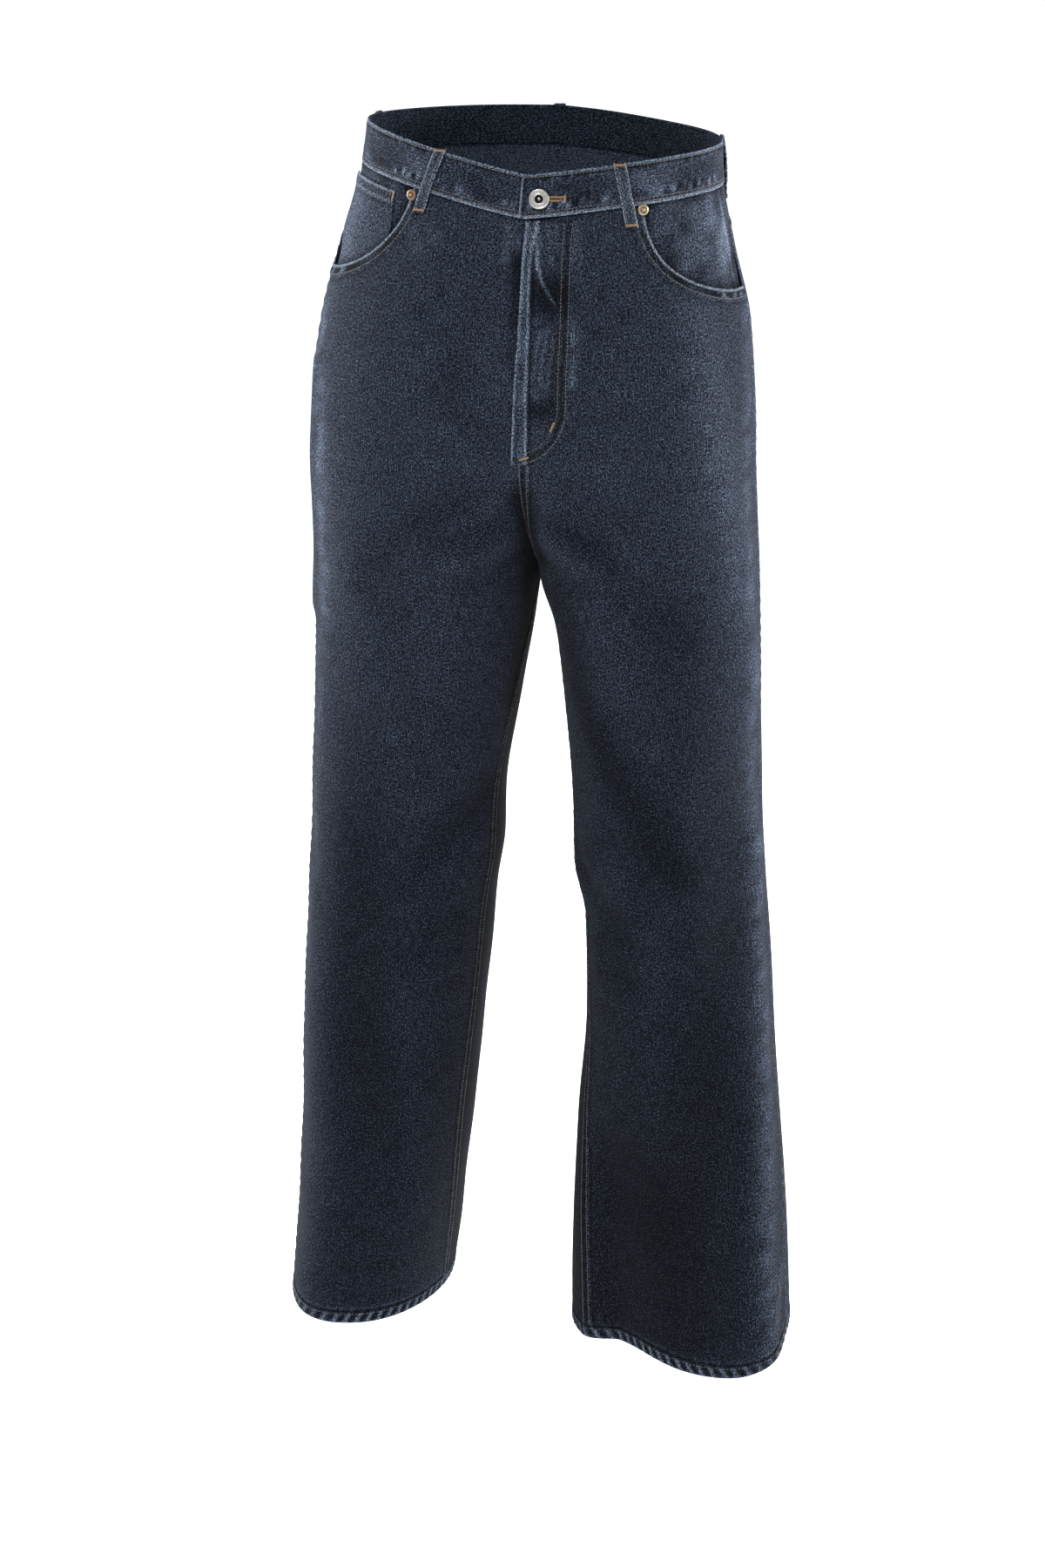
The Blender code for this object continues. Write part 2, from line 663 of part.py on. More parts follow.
def waistband(material, collection):
    """One strip from its under end on the wearer's left of the front centre, round the
    right and the back, to the buttoned end that laps over the start."""
    heights, over_columns = 3, 1
    columns = BAND_UNDER_COLUMNS + 2 * SIDE_COLUMNS + over_columns
    under_end = panel_run("left", "front", front_share("left", FRONT_COLUMNS - BAND_UNDER_COLUMNS), 0)

    def place(side, panel, u, row, out):
        z = band_edge(side, panel, u) - BAND_HEIGHT * row / heights
        return cloth_at(side, panel_run(side, panel, u, z), z, out)[0]

    def wrap(column, row, layer):
        out = BAND_PROUD - (BAND_THICK if layer else 0.0)
        k = column - BAND_UNDER_COLUMNS
        if k < 0:
            return place("left", "front", front_share("left", FRONT_COLUMNS + k), row, out)
        if k <= SIDE_COLUMNS:
            panel, u = round_the_side("right", k)
            return place("right", panel, u, row, out)
        k -= SIDE_COLUMNS
        if k <= SIDE_COLUMNS:
            panel, u = round_the_side("left", SIDE_COLUMNS - k)
            if panel == "front":
                run = panel_run("left", panel, u, 0)
                out += lap_offset(under_end + BAND_LAP_RISE + 0.004 - run)
            return place("left", panel, u, row, out)
        u = 1 - BAND_LAP_OVER / panel_length("right", "front", 0)
        return place("right", "front", u, row, out + lap_offset(1))

    return wrapped_slab("waistband", columns, heights, wrap, material, collection)


def front_centre(x, z, out):
    """A place at x metres round from the front centre, positive to the wearer's left,
    with a normal that does not dip into the centre seam."""
    side = "left" if x >= 0 else "right"
    point, normal = cloth_at(side, abs(x), z)
    normal.x *= min(abs(x) / 0.02, 1.0)
    return point + normal.normalized() * out


def fly_width(z):
    """Width of the fly from the centre at height z: straight, then rounded to its foot."""
    below = FLY_BOTTOM_Z + FLY_CURVE - z
    if below <= 0:
        return FLY_WIDTH
    share = min(below / FLY_CURVE, 0.985)
    return FLY_WIDTH * math.sqrt(1 - share * share)


def fly_placket(material, collection):
    rows = 14
    columns = 6

    def wrap(column, row, layer):
        top = waist_seam("left", "front", 1) - FLY_TOP_GAP
        straight, curved = 7, rows - 7
        curve_top = FLY_BOTTOM_Z + FLY_CURVE
        if row <= straight:
            z = top + (curve_top - top) * row / straight
        else:
            z = curve_top - FLY_CURVE * math.sin(math.pi / 2 * (row - straight) / curved)
        width = fly_width(z)
        past = FLY_PAST_TOP + (FLY_PAST_BOTTOM - FLY_PAST_TOP) * (top - z) / (top - FLY_BOTTOM_Z)
        edge = min(FLY_EDGE, 0.4 * width + past)
        stops = [-past, edge - FLY_STEP, edge]
        rest = columns - len(stops) + 1
        inside = edge + FLY_STEP
        stops += [inside + (width - inside) * k / (rest - 1) for k in range(rest)]
        x = stops[column]
        out = PATCH_GAP
        if not layer:
            out += FLY_THICK + (FLY_EDGE_PROUD if column <= 1 else 0.0)
        return front_centre(x, z, out)

    return wrapped_slab("fly_placket", columns, rows, wrap, material, collection)


def back_pocket(side, material, collection):
    """A patch pocket on the back panel, hemmed at the top and pointed at the bottom."""
    columns, rows = 8, 8
    middle_u = BACK_POCKET_MIDDLE
    top_z = yoke_seam(side, middle_u) - BACK_POCKET_BELOW_YOKE

    def wrap(column, row, layer):
        across = column / columns - 0.5
        heights = [0, BACK_POCKET_HEM, BACK_POCKET_HEM + 0.002]
        down_steps = rows - len(heights) + 1
        heights += [
            heights[2] + (BACK_POCKET_SIDE - heights[2]) * k / (down_steps)
            for k in range(1, down_steps + 1)
        ]
        down = heights[row]
        width = BACK_POCKET_WIDTH - 2 * BACK_POCKET_TAPER * down / BACK_POCKET_SIDE
        point = BACK_POCKET_POINT * (1 - abs(2 * across)) * (down / BACK_POCKET_SIDE) ** 3
        z = top_z - down - point
        # the top edge lies along the yoke seam, lower towards the centre
        z -= across * BACK_POCKET_WIDTH * 0.10
        centre = panel_run(side, "back", middle_u, z)
        out = PATCH_GAP
        if not layer:
            out += PATCH_THICK + (0.0006 if row <= 1 else 0.0)
        return cloth_at(side, centre + across * width, z, out)[0]

    return wrapped_slab(f"back_pocket_{side}", columns, rows, wrap, material, collection)


def hem(side, material, collection):
    """The turned edge of the leg, a ring of double cloth."""
    rows = 2
    columns = FRONT_COLUMNS + BACK_COLUMNS

    def wrap(column, row, layer):
        if column <= FRONT_COLUMNS:
            panel, u = "front", front_share(side, column)
        else:
            panel, u = "back", 1 - (column - FRONT_COLUMNS) / BACK_COLUMNS
        z = hem_edge(side, panel, u) + HEM_HEIGHT * (1 - row / rows)
        run = panel_run(side, panel, u, z)
        if column == 0:
            run = half_section(side, z)[3]
        if column == FRONT_COLUMNS:
            run = 0.0
        out = HEM_PROUD - (HEM_THICK if layer else 0.0)
        return cloth_at(side, run, z, out)[0]

    return wrapped_slab(f"hem_{side}", columns, rows, wrap, material, collection, closed=True)


# Where a belt loop crosses the waistband: its panel, its distance round from the side
# seam, and how far its bottom end leans towards the side seam
Loop = namedtuple("Loop", "name side panel distance lean")
LOOPS = [
    Loop("belt_loop_front_right", "right", "front", 0.118, 0.014),
    Loop("belt_loop_front_left", "left", "front", 0.1200, 0.012),
    Loop("belt_loop_side_right", "right", "back", 0.040, 0.003),
    Loop("belt_loop_side_left", "left", "back", 0.040, 0.003),
    Loop("belt_loop_back", "right", "back", None, 0.0),
]


def belt_loop(loop, material, collection):
    columns, rows = 2, 12
    side, panel = loop.side, loop.panel

    def wrap(column, row, layer):
        across = (column / columns - 0.5) * LOOP_WIDTH
        length = BAND_HEIGHT + LOOP_BELOW + LOOP_ABOVE
        down = row / rows
        u = 1.0 if loop.distance is None else share_of(side, panel, loop.distance, 0.0)
        z = band_edge(side, panel, u) + LOOP_ABOVE - down * length
        on_band = z > waist_seam(side, panel, u) - LOOP_STEP
        seat = LAYER_GAP + (BAND_PROUD if on_band else 0.0)
        arch = LOOP_ARCH * math.sin(math.pi * min(max((down - 0.04) / 0.86, 0), 1)) ** 0.7
        out = seat + arch + (0.0 if layer else LOOP_THICK)
        if loop.distance is None:
            # on the back centre: across is measured from the centre, on either side
            half = "right" if across <= 0 else "left"
            _, _, runs, _ = half_section(half, z)
            point, normal = cloth_at(half, runs[-1] - abs(across), z)
            return point + normal * out
        run = panel_run(side, panel, u, z)
        lean = loop.lean * (down - 0.5)
        toward_side = 1 if panel == "front" else -1
        return cloth_at(side, run + across + toward_side * lean, z, out)[0]

    return wrapped_slab(loop.name, columns, rows, wrap, material, collection)


def waist_button(material, collection):
    """A shank button on the buttoned end: a domed ring round a dished middle."""
    z = WAIST_TOP_FRONT - BUTTON_DOWN
    out = BAND_PROUD + lap_offset(1)
    point, normal = cloth_at("left", BUTTON_FROM_CENTRE, z)
    place = point + normal * (out + GAP)
    r, h = BUTTON_RADIUS, BUTTON_HEIGHT
    profile = [
        (0.0, 0.0), (0.45 * r, 0.0), (0.45 * r, 0.40 * h), (0.92 * r, 0.46 * h),
        (r, 0.62 * h), (0.97 * r, 0.84 * h), (0.86 * r, h), (0.74 * r, 0.97 * h),
        (0.66 * r, 0.80 * h), (0.30 * r, 0.66 * h), (0.0, 0.72 * h),
    ]
    return turned_piece("waist_button", profile, place, normal, material, collection, steps=32)


def rivet(side, distance, below_seam, material, collection):
    """A rivet at the inner end of a scoop: a low cap with a small nub."""
    z = waist_seam(side, "front", 0.45) - below_seam
    _, _, _, seam = half_section(side, z)
    point, normal = cloth_at(side, seam - distance, z)
    r, h = RIVET_RADIUS, RIVET_HEIGHT
    profile = [
        (0.0, 0.0), (0.94 * r, 0.0), (r, 0.30 * h), (0.90 * r, 0.75 * h),
        (0.62 * r, h), (0.42 * r, 0.85 * h), (0.30 * r, 1.25 * h), (0.0, 1.35 * h),
    ]
    place = point + normal * (MOUTH_PROUD + GAP)
    return turned_piece(f"rivet_{side}", profile, place, normal, material, collection, steps=20)


def main():
    for obj in list(bpy.data.objects):
        bpy.data.objects.remove(obj)
    collection = bpy.data.collections.new(COLLECTION_NAME)
    bpy.context.scene.collection.children.link(collection)

    denim = make_material("denim", (0.035, 0.062, 0.118), 0.92)
    denim_worn = make_material("denim_worn", (0.060, 0.098, 0.165), 0.90)
    nickel = make_material("nickel", (0.62, 0.60, 0.57), 0.32, 1.0)
    copper = make_material("copper", (0.42, 0.25, 0.15), 0.40, 1.0)

    for side in ("right", "left"):
        front_panel(side, denim, collection)
        back_panel(side, denim, collection)
        yoke(side, denim, collection)
        pocket_facing(side, denim, collection)
        back_pocket(side, denim, collection)
        hem(side, denim_worn, collection)
    coin_pocket(denim, collection)
    fly_placket(denim, collection)
    waistband(denim_worn, collection)
    for loop in LOOPS:
        belt_loop(loop, denim_worn, collection)
    waist_button(nickel, collection)
    rivet("right", 0.1055, 0.0085, copper, collection)
    rivet("left", 0.1093, 0.0052, copper, collection)


main()
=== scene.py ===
# The finished look of the wide leg jeans. Each solid is shown as thin sewn cloth on the
# same form, with its seams, puckers, creases, stitches and metal, in indigo denim.

import math
from collections import namedtuple

import bmesh
import bpy
import numpy as np
from mathutils import Matrix, Vector


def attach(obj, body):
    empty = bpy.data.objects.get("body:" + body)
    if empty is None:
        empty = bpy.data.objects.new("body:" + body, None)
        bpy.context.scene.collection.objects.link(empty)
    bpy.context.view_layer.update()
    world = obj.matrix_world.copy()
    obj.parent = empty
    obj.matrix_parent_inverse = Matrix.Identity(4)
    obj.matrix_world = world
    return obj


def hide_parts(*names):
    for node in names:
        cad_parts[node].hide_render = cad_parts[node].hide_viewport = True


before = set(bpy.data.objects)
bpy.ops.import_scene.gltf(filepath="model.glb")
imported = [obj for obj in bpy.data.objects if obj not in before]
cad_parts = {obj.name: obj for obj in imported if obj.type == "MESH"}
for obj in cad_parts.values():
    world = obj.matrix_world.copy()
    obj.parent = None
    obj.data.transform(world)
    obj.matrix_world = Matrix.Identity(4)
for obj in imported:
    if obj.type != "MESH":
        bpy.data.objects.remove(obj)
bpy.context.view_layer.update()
print("loaded", len(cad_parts), "nodes")

clothThick = 0.0013
gap = 0.00003
seamForward = 0.012
forkZ = -0.385
hipZ = -0.250
frontRiseZ = -0.255
backRiseZ = -0.215
forkBand = (-0.290, -0.405)
roundness = 2.15

bandHeight = 0.0365
bandProud = 0.0007
bandThick = 0.0026
bandLapRise = 0.048
bandLapOver = 0.004
waistTopSide = {"right": 0.010, "left": -0.008}
waistTopFront = -0.0250
waistTopBack = 0.010
waistDip = 1.6
waistVee = 1.15

hemHeight = 0.012
signOf = {"right": -1.0, "left": 1.0}

section = namedtuple("section", "z outer outerY inner innerY frontX frontY backX backY")
trunk = [
    section(0.050, 0.150, 0.000, 0, 0, 0, -0.110, 0, 0.106),
    section(0.000, 0.154, 0.000, 0, 0, 0, -0.112, 0, 0.112),
    section(-0.040, 0.1585, 0.000, 0, 0, 0, -0.115, 0, 0.118),
    section(-0.100, 0.1735, 0.000, 0, 0, 0, -0.119, 0, 0.127),
    section(-0.160, 0.190, 0.000, 0, 0, 0, -0.122, 0, 0.136),
    section(-0.210, 0.196, 0.000, 0, 0, 0, -0.123, 0, 0.140),
]
legs = {
    "right": trunk + [
        section(-0.260, 0.1995, 0.000, 0.000, 0.004, 0.012, -0.1235, 0.018, 0.1375),
        section(-0.320, 0.2020, 0.000, 0.000, 0.006, 0.040, -0.1220, 0.050, 0.1280),
        section(-0.385, 0.2040, 0.000, 0.000, 0.008, 0.074, -0.1190, 0.082, 0.1185),
        section(-0.430, 0.206, 0.000, 0.006, 0.008, 0.092, -0.1155, 0.096, 0.1145),
        section(-0.500, 0.2085, 0.001, 0.018, 0.006, 0.112, -0.108, 0.108, 0.110),
        section(-0.600, 0.2135, 0.001, 0.033, 0.004, 0.126, -0.101, 0.118, 0.104),
        section(-0.650, 0.216, 0.000, 0.0345, 0.003, 0.131, -0.098, 0.123, 0.102),
        section(-0.700, 0.219, 0.000, 0.0415, 0.002, 0.135, -0.096, 0.128, 0.100),
        section(-0.800, 0.225, -0.002, 0.051, 0.000, 0.144, -0.094, 0.135, 0.098),
        section(-0.900, 0.228, -0.005, 0.062, -0.002, 0.154, -0.093, 0.142, 0.096),
        section(-1.000, 0.233, -0.008, 0.073, 0.006, 0.166, -0.094, 0.150, 0.096),
        section(-1.130, 0.244, -0.012, 0.091, 0.018, 0.186, -0.097, 0.158, 0.095),
    ],
    "left": trunk + [
        section(-0.260, 0.198, -0.001, 0.000, 0.004, 0.012, -0.1235, 0.018, 0.1375),
        section(-0.320, 0.1985, -0.003, 0.000, 0.006, 0.040, -0.1220, 0.050, 0.1280),
        section(-0.385, 0.1995, -0.008, 0.000, 0.008, 0.074, -0.1220, 0.081, 0.1155),
        section(-0.430, 0.200, -0.012, 0.013, 0.002, 0.091, -0.1235, 0.095, 0.1050),
        section(-0.500, 0.202, -0.020, 0.024, -0.008, 0.109, -0.127, 0.107, 0.088),
        section(-0.600, 0.207, -0.032, 0.034, -0.022, 0.122, -0.132, 0.117, 0.068),
        section(-0.650, 0.211, -0.038, 0.0355, -0.029, 0.127, -0.135, 0.122, 0.060),
        section(-0.700, 0.215, -0.044, 0.0465, -0.036, 0.132, -0.138, 0.126, 0.052),
        section(-0.800, 0.223, -0.058, 0.049, -0.046, 0.144, -0.142, 0.131, 0.040),
        section(-0.900, 0.232, -0.070, 0.043, -0.054, 0.156, -0.145, 0.132, 0.026),
        section(-1.000, 0.241, -0.082, 0.039, -0.060, 0.170, -0.148, 0.128, 0.014),
        section(-1.130, 0.247, -0.084, 0.040, -0.062, 0.196, -0.153, 0.122, 0.004),
    ],
}
midlineZ = [0.050, 0.000, -0.050, -0.100, -0.150, -0.210, -0.270, -0.330, -0.385, -0.450, -1.200]
midlineX = [-0.005, -0.0065, -0.0102, -0.0132, -0.0140, -0.0158, -0.0158, -0.0128, -0.0098,
            -0.0088, -0.0088]

# How far the inseam lies in front of the legs' innermost line
inseamZ = [-0.385, -0.430, -0.500, -0.600, -0.750, -0.950, -1.130]
inseamForward = {
    "right": [0.000, 0.012, 0.027, 0.034, 0.036, 0.036, 0.031],
    "left": [0.000, 0.007, 0.015, 0.022, 0.030, 0.039, 0.044],
}

hemLine = namedtuple("hemLine", "outer inner front frontLow back")
hemLines = {
    "right": hemLine(-1.115, -1.112, -0.006, 0.50, -0.002),
    "left": hemLine(-1.100, -1.114, -0.018, 0.37, 0.004),
}

# Ridges (height above 0) and troughs (below 0), each from one place to another. run is
# metres round from the side seam, negative to the front and positive to the back.
fold = namedtuple("fold", "side run0 z0 run1 z1 width height")
folds = [
    fold("left", -0.085, -0.150, -0.030, -0.480, 0.022, 0.0045),
    fold("left", -0.125, -0.420, -0.050, -0.700, 0.040, -0.0050),
    fold("left", -0.030, -0.620, -0.045, -1.100, 0.020, 0.0060),
    fold("left", -0.085, -0.700, -0.105, -1.080, 0.030, -0.0050),
    fold("left", -0.250, -0.640, -0.190, -0.690, 0.018, -0.0040),
    fold("left", -0.200, -0.330, -0.120, -0.420, 0.020, -0.0030),
    fold("left", -0.190, -0.960, -0.200, -1.130, 0.055, -0.0200),
    fold("right", -0.020, -0.200, -0.024, -0.420, 0.010, 0.0030),
    fold("right", -0.205, -0.110, -0.190, -0.190, 0.014, -0.0035),
    fold("right", -0.190, -0.290, -0.120, -0.380, 0.020, -0.0035),
    fold("right", -0.100, -0.520, -0.125, -0.900, 0.030, -0.0030),
    fold("right", -0.060, -0.760, -0.070, -1.100, 0.026, 0.0035),
    fold("right", -0.235, -0.600, -0.180, -0.640, 0.016, -0.0040),
    fold("right", 0.090, -0.330, 0.190, -0.360, 0.020, -0.0050),
    fold("right", 0.070, -0.400, 0.200, -0.440, 0.022, -0.0040),
    fold("right", 0.130, -0.480, 0.120, -0.900, 0.030, -0.0045),
    fold("right", 0.060, -0.560, 0.070, -1.100, 0.026, 0.0045),
    fold("right", 0.190, -0.640, 0.180, -1.050, 0.026, 0.0040),
    fold("left", 0.080, -0.330, 0.180, -0.370, 0.020, -0.0045),
    fold("left", 0.090, -0.410, 0.200, -0.440, 0.022, -0.0045),
    fold("left", 0.150, -0.500, 0.110, -0.920, 0.030, -0.0055),
    fold("left", 0.070, -0.540, 0.050, -1.100, 0.026, 0.0050),
    fold("left", 0.200, -0.660, 0.170, -1.080, 0.026, 0.0045),
]
# Finer creases that only the finished cloth has
creases = [
    # beside the fly
    fold("right", -0.215, -0.088, -0.231, -0.150, 0.0080, -0.0024),
    fold("right", -0.202, -0.068, -0.212, -0.112, 0.0050, 0.0014),
    fold("right", -0.186, -0.070, -0.206, -0.140, 0.0080, 0.0008),
    fold("left", -0.180, -0.066, -0.176, -0.110, 0.0060, 0.0008),
    fold("left", -0.190, -0.112, -0.170, -0.150, 0.0090, -0.0012),
    # under the ends of the pockets
    fold("right", -0.110, -0.064, -0.128, -0.092, 0.0050, 0.0010),
    fold("right", -0.128, -0.066, -0.144, -0.090, 0.0050, 0.0008),
    fold("left", -0.112, -0.066, -0.108, -0.100, 0.0050, 0.0010),
    # from the fork outwards
    fold("right", -0.262, -0.310, -0.178, -0.342, 0.0090, -0.0022),
    fold("right", -0.290, -0.352, -0.200, -0.384, 0.0080, -0.0020),
    fold("right", -0.276, -0.332, -0.190, -0.362, 0.0070, 0.0016),
    fold("right", -0.240, -0.262, -0.165, -0.206, 0.0120, -0.0014),
    fold("right", -0.230, -0.238, -0.150, -0.180, 0.0100, 0.0010),
    fold("left", -0.256, -0.306, -0.176, -0.338, 0.0090, -0.0020),
    fold("left", -0.280, -0.350, -0.195, -0.384, 0.0080, -0.0020),
    fold("left", -0.268, -0.330, -0.186, -0.360, 0.0070, 0.0016),
    fold("left", -0.236, -0.258, -0.160, -0.226, 0.0120, -0.0012),
    # thighs and knees
    fold("right", -0.060, -0.260, -0.110, -0.420, 0.016, 0.0010),
    fold("right", -0.150, -0.400, -0.170, -0.560, 0.014, -0.0012),
    fold("right", -0.200, -0.620, -0.120, -0.700, 0.014, -0.0012),
    fold("right", -0.215, -0.700, -0.150, -0.735, 0.012, -0.0012),
    fold("right", -0.150, -0.770, -0.170, -1.000, 0.014, 0.0013),
    fold("right", -0.200, -0.830, -0.215, -1.060, 0.012, -0.0012),
    fold("right", -0.030, -0.640, -0.060, -0.700, 0.012, -0.0010),
    fold("left", -0.110, -0.560, -0.150, -0.760, 0.016, 0.0014),
    fold("left", -0.190, -0.600, -0.120, -0.700, 0.014, -0.0014),
    fold("left", -0.230, -0.700, -0.160, -0.745, 0.012, -0.0014),
    fold("left", -0.140, -0.800, -0.160, -1.020, 0.014, 0.0014),
    fold("left", -0.060, -0.860, -0.070, -1.060, 0.012, -0.0016),
    fold("left", -0.016, -1.030, -0.050, -1.096, 0.008, 0.0022),
    # behind the knees and under the seat
    fold("right", 0.050, -0.590, 0.150, -0.615, 0.010, -0.0022),
    fold("right", 0.100, -0.640, 0.210, -0.662, 0.011, -0.0024),
    fold("right", 0.040, -0.672, 0.130, -0.690, 0.009, -0.0018),
    fold("right", 0.110, -0.615, 0.190, -0.632, 0.008, 0.0018),
    fold("right", 0.150, -0.342, 0.230, -0.378, 0.009, 0.0020),
    fold("right", 0.040, -0.980, 0.140, -1.010, 0.012, -0.0016),
    fold("left", 0.060, -0.580, 0.150, -0.612, 0.010, -0.0022),
    fold("left", 0.090, -0.632, 0.210, -0.650, 0.011, -0.0026),
    fold("left", 0.050, -0.668, 0.140, -0.700, 0.009, -0.0018),
    fold("left", 0.120, -0.606, 0.200, -0.628, 0.008, 0.0020),
    fold("left", 0.140, -0.346, 0.225, -0.385, 0.009, 0.0020),
    fold("left", 0.060, -0.960, 0.150, -1.000, 0.012, -0.0018),
]
foldFade = 0.035


def smooth(x):
    x = np.clip(x, 0.0, 1.0)
    return x * x * (3 - 2 * x)


def hump(x, centre, width):
    return np.exp(-(((x - centre) / width) ** 2))


# A smooth curve through values at falling heights
def curveThrough(heights, values, z):
    heights, values = np.asarray(heights, float), np.asarray(values, float)
    slopes = np.diff(values) / np.diff(heights)
    before = np.concatenate([slopes[:1], slopes])
    after = np.concatenate([slopes, slopes[-1:]])
    both = before * after
    tangents = np.where(both > 0, 2 * both / np.where(both > 0, before + after, 1), 0)
    z = np.clip(z, heights[-1], heights[0])
    i = np.clip(np.searchsorted(-heights, -z, side="left") - 1, 0, len(heights) - 2)
    span = heights[i + 1] - heights[i]
    t = (z - heights[i]) / span
    return (
        values[i] * (1 + 2 * t) * (1 - t) ** 2
        + values[i + 1] * t * t * (3 - 2 * t)
        + span * (tangents[i] * t * (1 - t) ** 2 - tangents[i + 1] * t * t * (1 - t))
    )


def midline(z):
    return curveThrough(midlineZ, midlineX, z)


# One side of the body as a table of places, looked up by the run round from the side seam and
# the height
class halfBody:
    step = 0.0025
    steps = 140

    def __init__(self, side):
        self.side = side
        self.z = np.arange(0.05, -1.15, -self.step)
        rows = legs[side]
        heights = [row.z for row in rows]
        at = {
            name: curveThrough(heights, [getattr(row, name) for row in rows], self.z)
            for name in section._fields[1:]
        }
        count = len(self.z)
        self.place = np.zeros((count, 2 * self.steps + 1, 3))
        self.front, self.back = np.zeros(count), np.zeros(count)
        power = 2 / roundness
        quarter = np.linspace(0, math.pi / 2, 40)
        for k, z in enumerate(self.z):
            inner = max(at["inner"][k], 0.0) + gap / 2
            parts = []
            for name, start in (("front", frontRiseZ), ("back", backRiseZ)):
                peakX, peakY = max(at[name + "X"][k], inner), at[name + "Y"][k]
                down = min(max((start - z) / (start - forkZ), 1e-3), 1.0)
                share = 1 - (1 - down) ** 1.5
                t = np.linspace(0, math.asin(share ** (1 / power)), 40)
                innerX = peakX + (inner - peakX) / share * np.sin(t) ** power
                innerY = at["innerY"][k] + (peakY - at["innerY"][k]) * np.cos(t) ** power
                outerX = peakX + (at["outer"][k] - peakX) * np.sin(quarter) ** power
                outerY = at["outerY"][k] + (peakY - at["outerY"][k]) * np.cos(quarter) ** power
                parts.append((innerX, innerY, outerX, outerY))
            (fx, fy, ox, oy), (bx, by, px, py) = parts
            x = np.concatenate([fx[::-1], ox[1:], px[::-1][1:], bx[1:]])
            y = np.concatenate([fy[::-1], oy[1:], py[::-1][1:], by[1:]])
            run = np.concatenate([[0.0], np.cumsum(np.hypot(np.diff(x), np.diff(y)))])
            seam = run[2 * len(quarter) - 2] - seamForward
            forward = float(curveThrough(inseamZ, inseamForward[side], z))
            if forward > 0:
                # the section is closed here, so what lies behind the inseam joins the back
                stops = np.unique(np.append(run, forward))
                x, y = np.interp(stops, run, x), np.interp(stops, run, y)
                first = np.searchsorted(stops, forward)
                x = np.concatenate([x[first:], x[1:first + 1]])
                y = np.concatenate([y[first:], y[1:first + 1]])
                run = np.concatenate([stops[first:] - forward, stops[1:first + 1] + run[-1] - forward])
                seam -= forward
            self.front[k], self.back[k] = seam, run[-1] - seam
            runs = np.concatenate([
                np.linspace(0, seam, self.steps + 1),
                np.linspace(seam, run[-1], self.steps + 1)[1:],
            ])
            self.place[k, :, 0] = np.interp(runs, run, x)
            self.place[k, :, 1] = np.interp(runs, run, y)
            self.place[k, :, 2] = z
        across = np.gradient(self.place, axis=1)
        along = -np.gradient(self.place, axis=0)
        normal = np.cross(across, along)
        self.normal = normal / np.linalg.norm(normal, axis=2, keepdims=True)

    def length(self, panel, z):
        return np.interp(-np.asarray(z), -self.z, self.front if panel == "front" else self.back)

    # Places and normals at arrays of runs and heights, without folds
    def look(self, run, z):
        run, z = np.broadcast_arrays(np.asarray(run, float), np.asarray(z, float))
        row = np.clip((self.z[0] - z) / self.step, 0, len(self.z) - 1.001)
        share = np.where(run < 0, run / self.length("front", z), run / self.length("back", z))
        column = np.clip((1 + share) * self.steps, 0, 2 * self.steps - 0.001)
        r, c = row.astype(int), column.astype(int)
        fr, fc = (row - r)[..., None], (column - c)[..., None]

        def mix(table):
            return (
                table[r, c] * (1 - fr) * (1 - fc) + table[r, c + 1] * (1 - fr) * fc
                + table[r + 1, c] * fr * (1 - fc) + table[r + 1, c + 1] * fr * fc
            )

        place, normal = mix(self.place), mix(self.normal)
        place[..., 2] = z
        return place, normal / np.linalg.norm(normal, axis=-1, keepdims=True)


body = {side: halfBody(side) for side in ("right", "left")}


def foldHeight(side, run, z, rows):
    inner = np.where(run < 0, body[side].length("front", z) + run,
                     body[side].length("back", z) - run)
    total = np.zeros(np.shape(run))
    for row in rows:
        if row.side != side:
            continue
        ax, az = row.run1 - row.run0, row.z1 - row.z0
        hx, hz = run - row.run0, z - row.z0
        t = np.clip((hx * ax + hz * az) / (ax * ax + az * az), 0, 1)
        near = np.hypot(hx - t * ax, hz - t * az)
        total += row.height * np.exp(-((near / row.width) ** 2))
    return total * smooth(inner / foldFade)


# Gentle unevenness of worn cloth: a few waves in several directions
def ripple(side, run, z, seed, size, height):
    rng = np.random.default_rng(seed + (7 if side == "left" else 0))
    total, waves = np.zeros(np.shape(run)), 7
    for _ in range(waves):
        turn, phase = rng.uniform(0, math.pi), rng.uniform(0, 2 * math.pi)
        wave = size * rng.uniform(0.6, 1.7)
        total += np.sin(2 * math.pi * (run * math.cos(turn) + z * math.sin(turn)) / wave + phase)
    return total * height / waves ** 0.5


# Places in the frame on one side, moved out, and their normals
def onBody(side, run, z, out):
    run, z, out = np.broadcast_arrays(run, z, out)
    place, normal = body[side].look(run, z)
    inner = np.where(run < 0, body[side].length("front", z) + run,
                     body[side].length("back", z) - run)
    fine = ripple(side, run, z, 3, 0.13, 0.0007) * smooth(inner / foldFade)
    lift = out + foldHeight(side, run, z, folds) + foldHeight(side, run, z, creases) + fine
    place = place + lift[..., None] * normal
    sign = signOf[side]
    place = np.stack([midline(z) + sign * place[..., 0], place[..., 1], place[..., 2]], -1)
    normal = np.stack([sign * normal[..., 0], normal[..., 1], normal[..., 2]], -1)
    return place, normal


# Signed run from the side seam at the share of the way to the inner seam
def panelRun(side, panel, share, z):
    length = body[side].length(panel, z)
    top, bottom = (body[side].length(panel, edge) for edge in forkBand)
    inBand = smooth((forkBand[0] - z) / (forkBand[0] - forkBand[1]))
    even = np.where((z < forkBand[0]) & (z > forkBand[1]), top + (bottom - top) * inBand, length)
    distance = share * even + (length - even) * smooth((share - 0.7) / 0.3)
    distance = gap / 2 + distance * (length - gap) / length
    return -distance if panel == "front" else distance


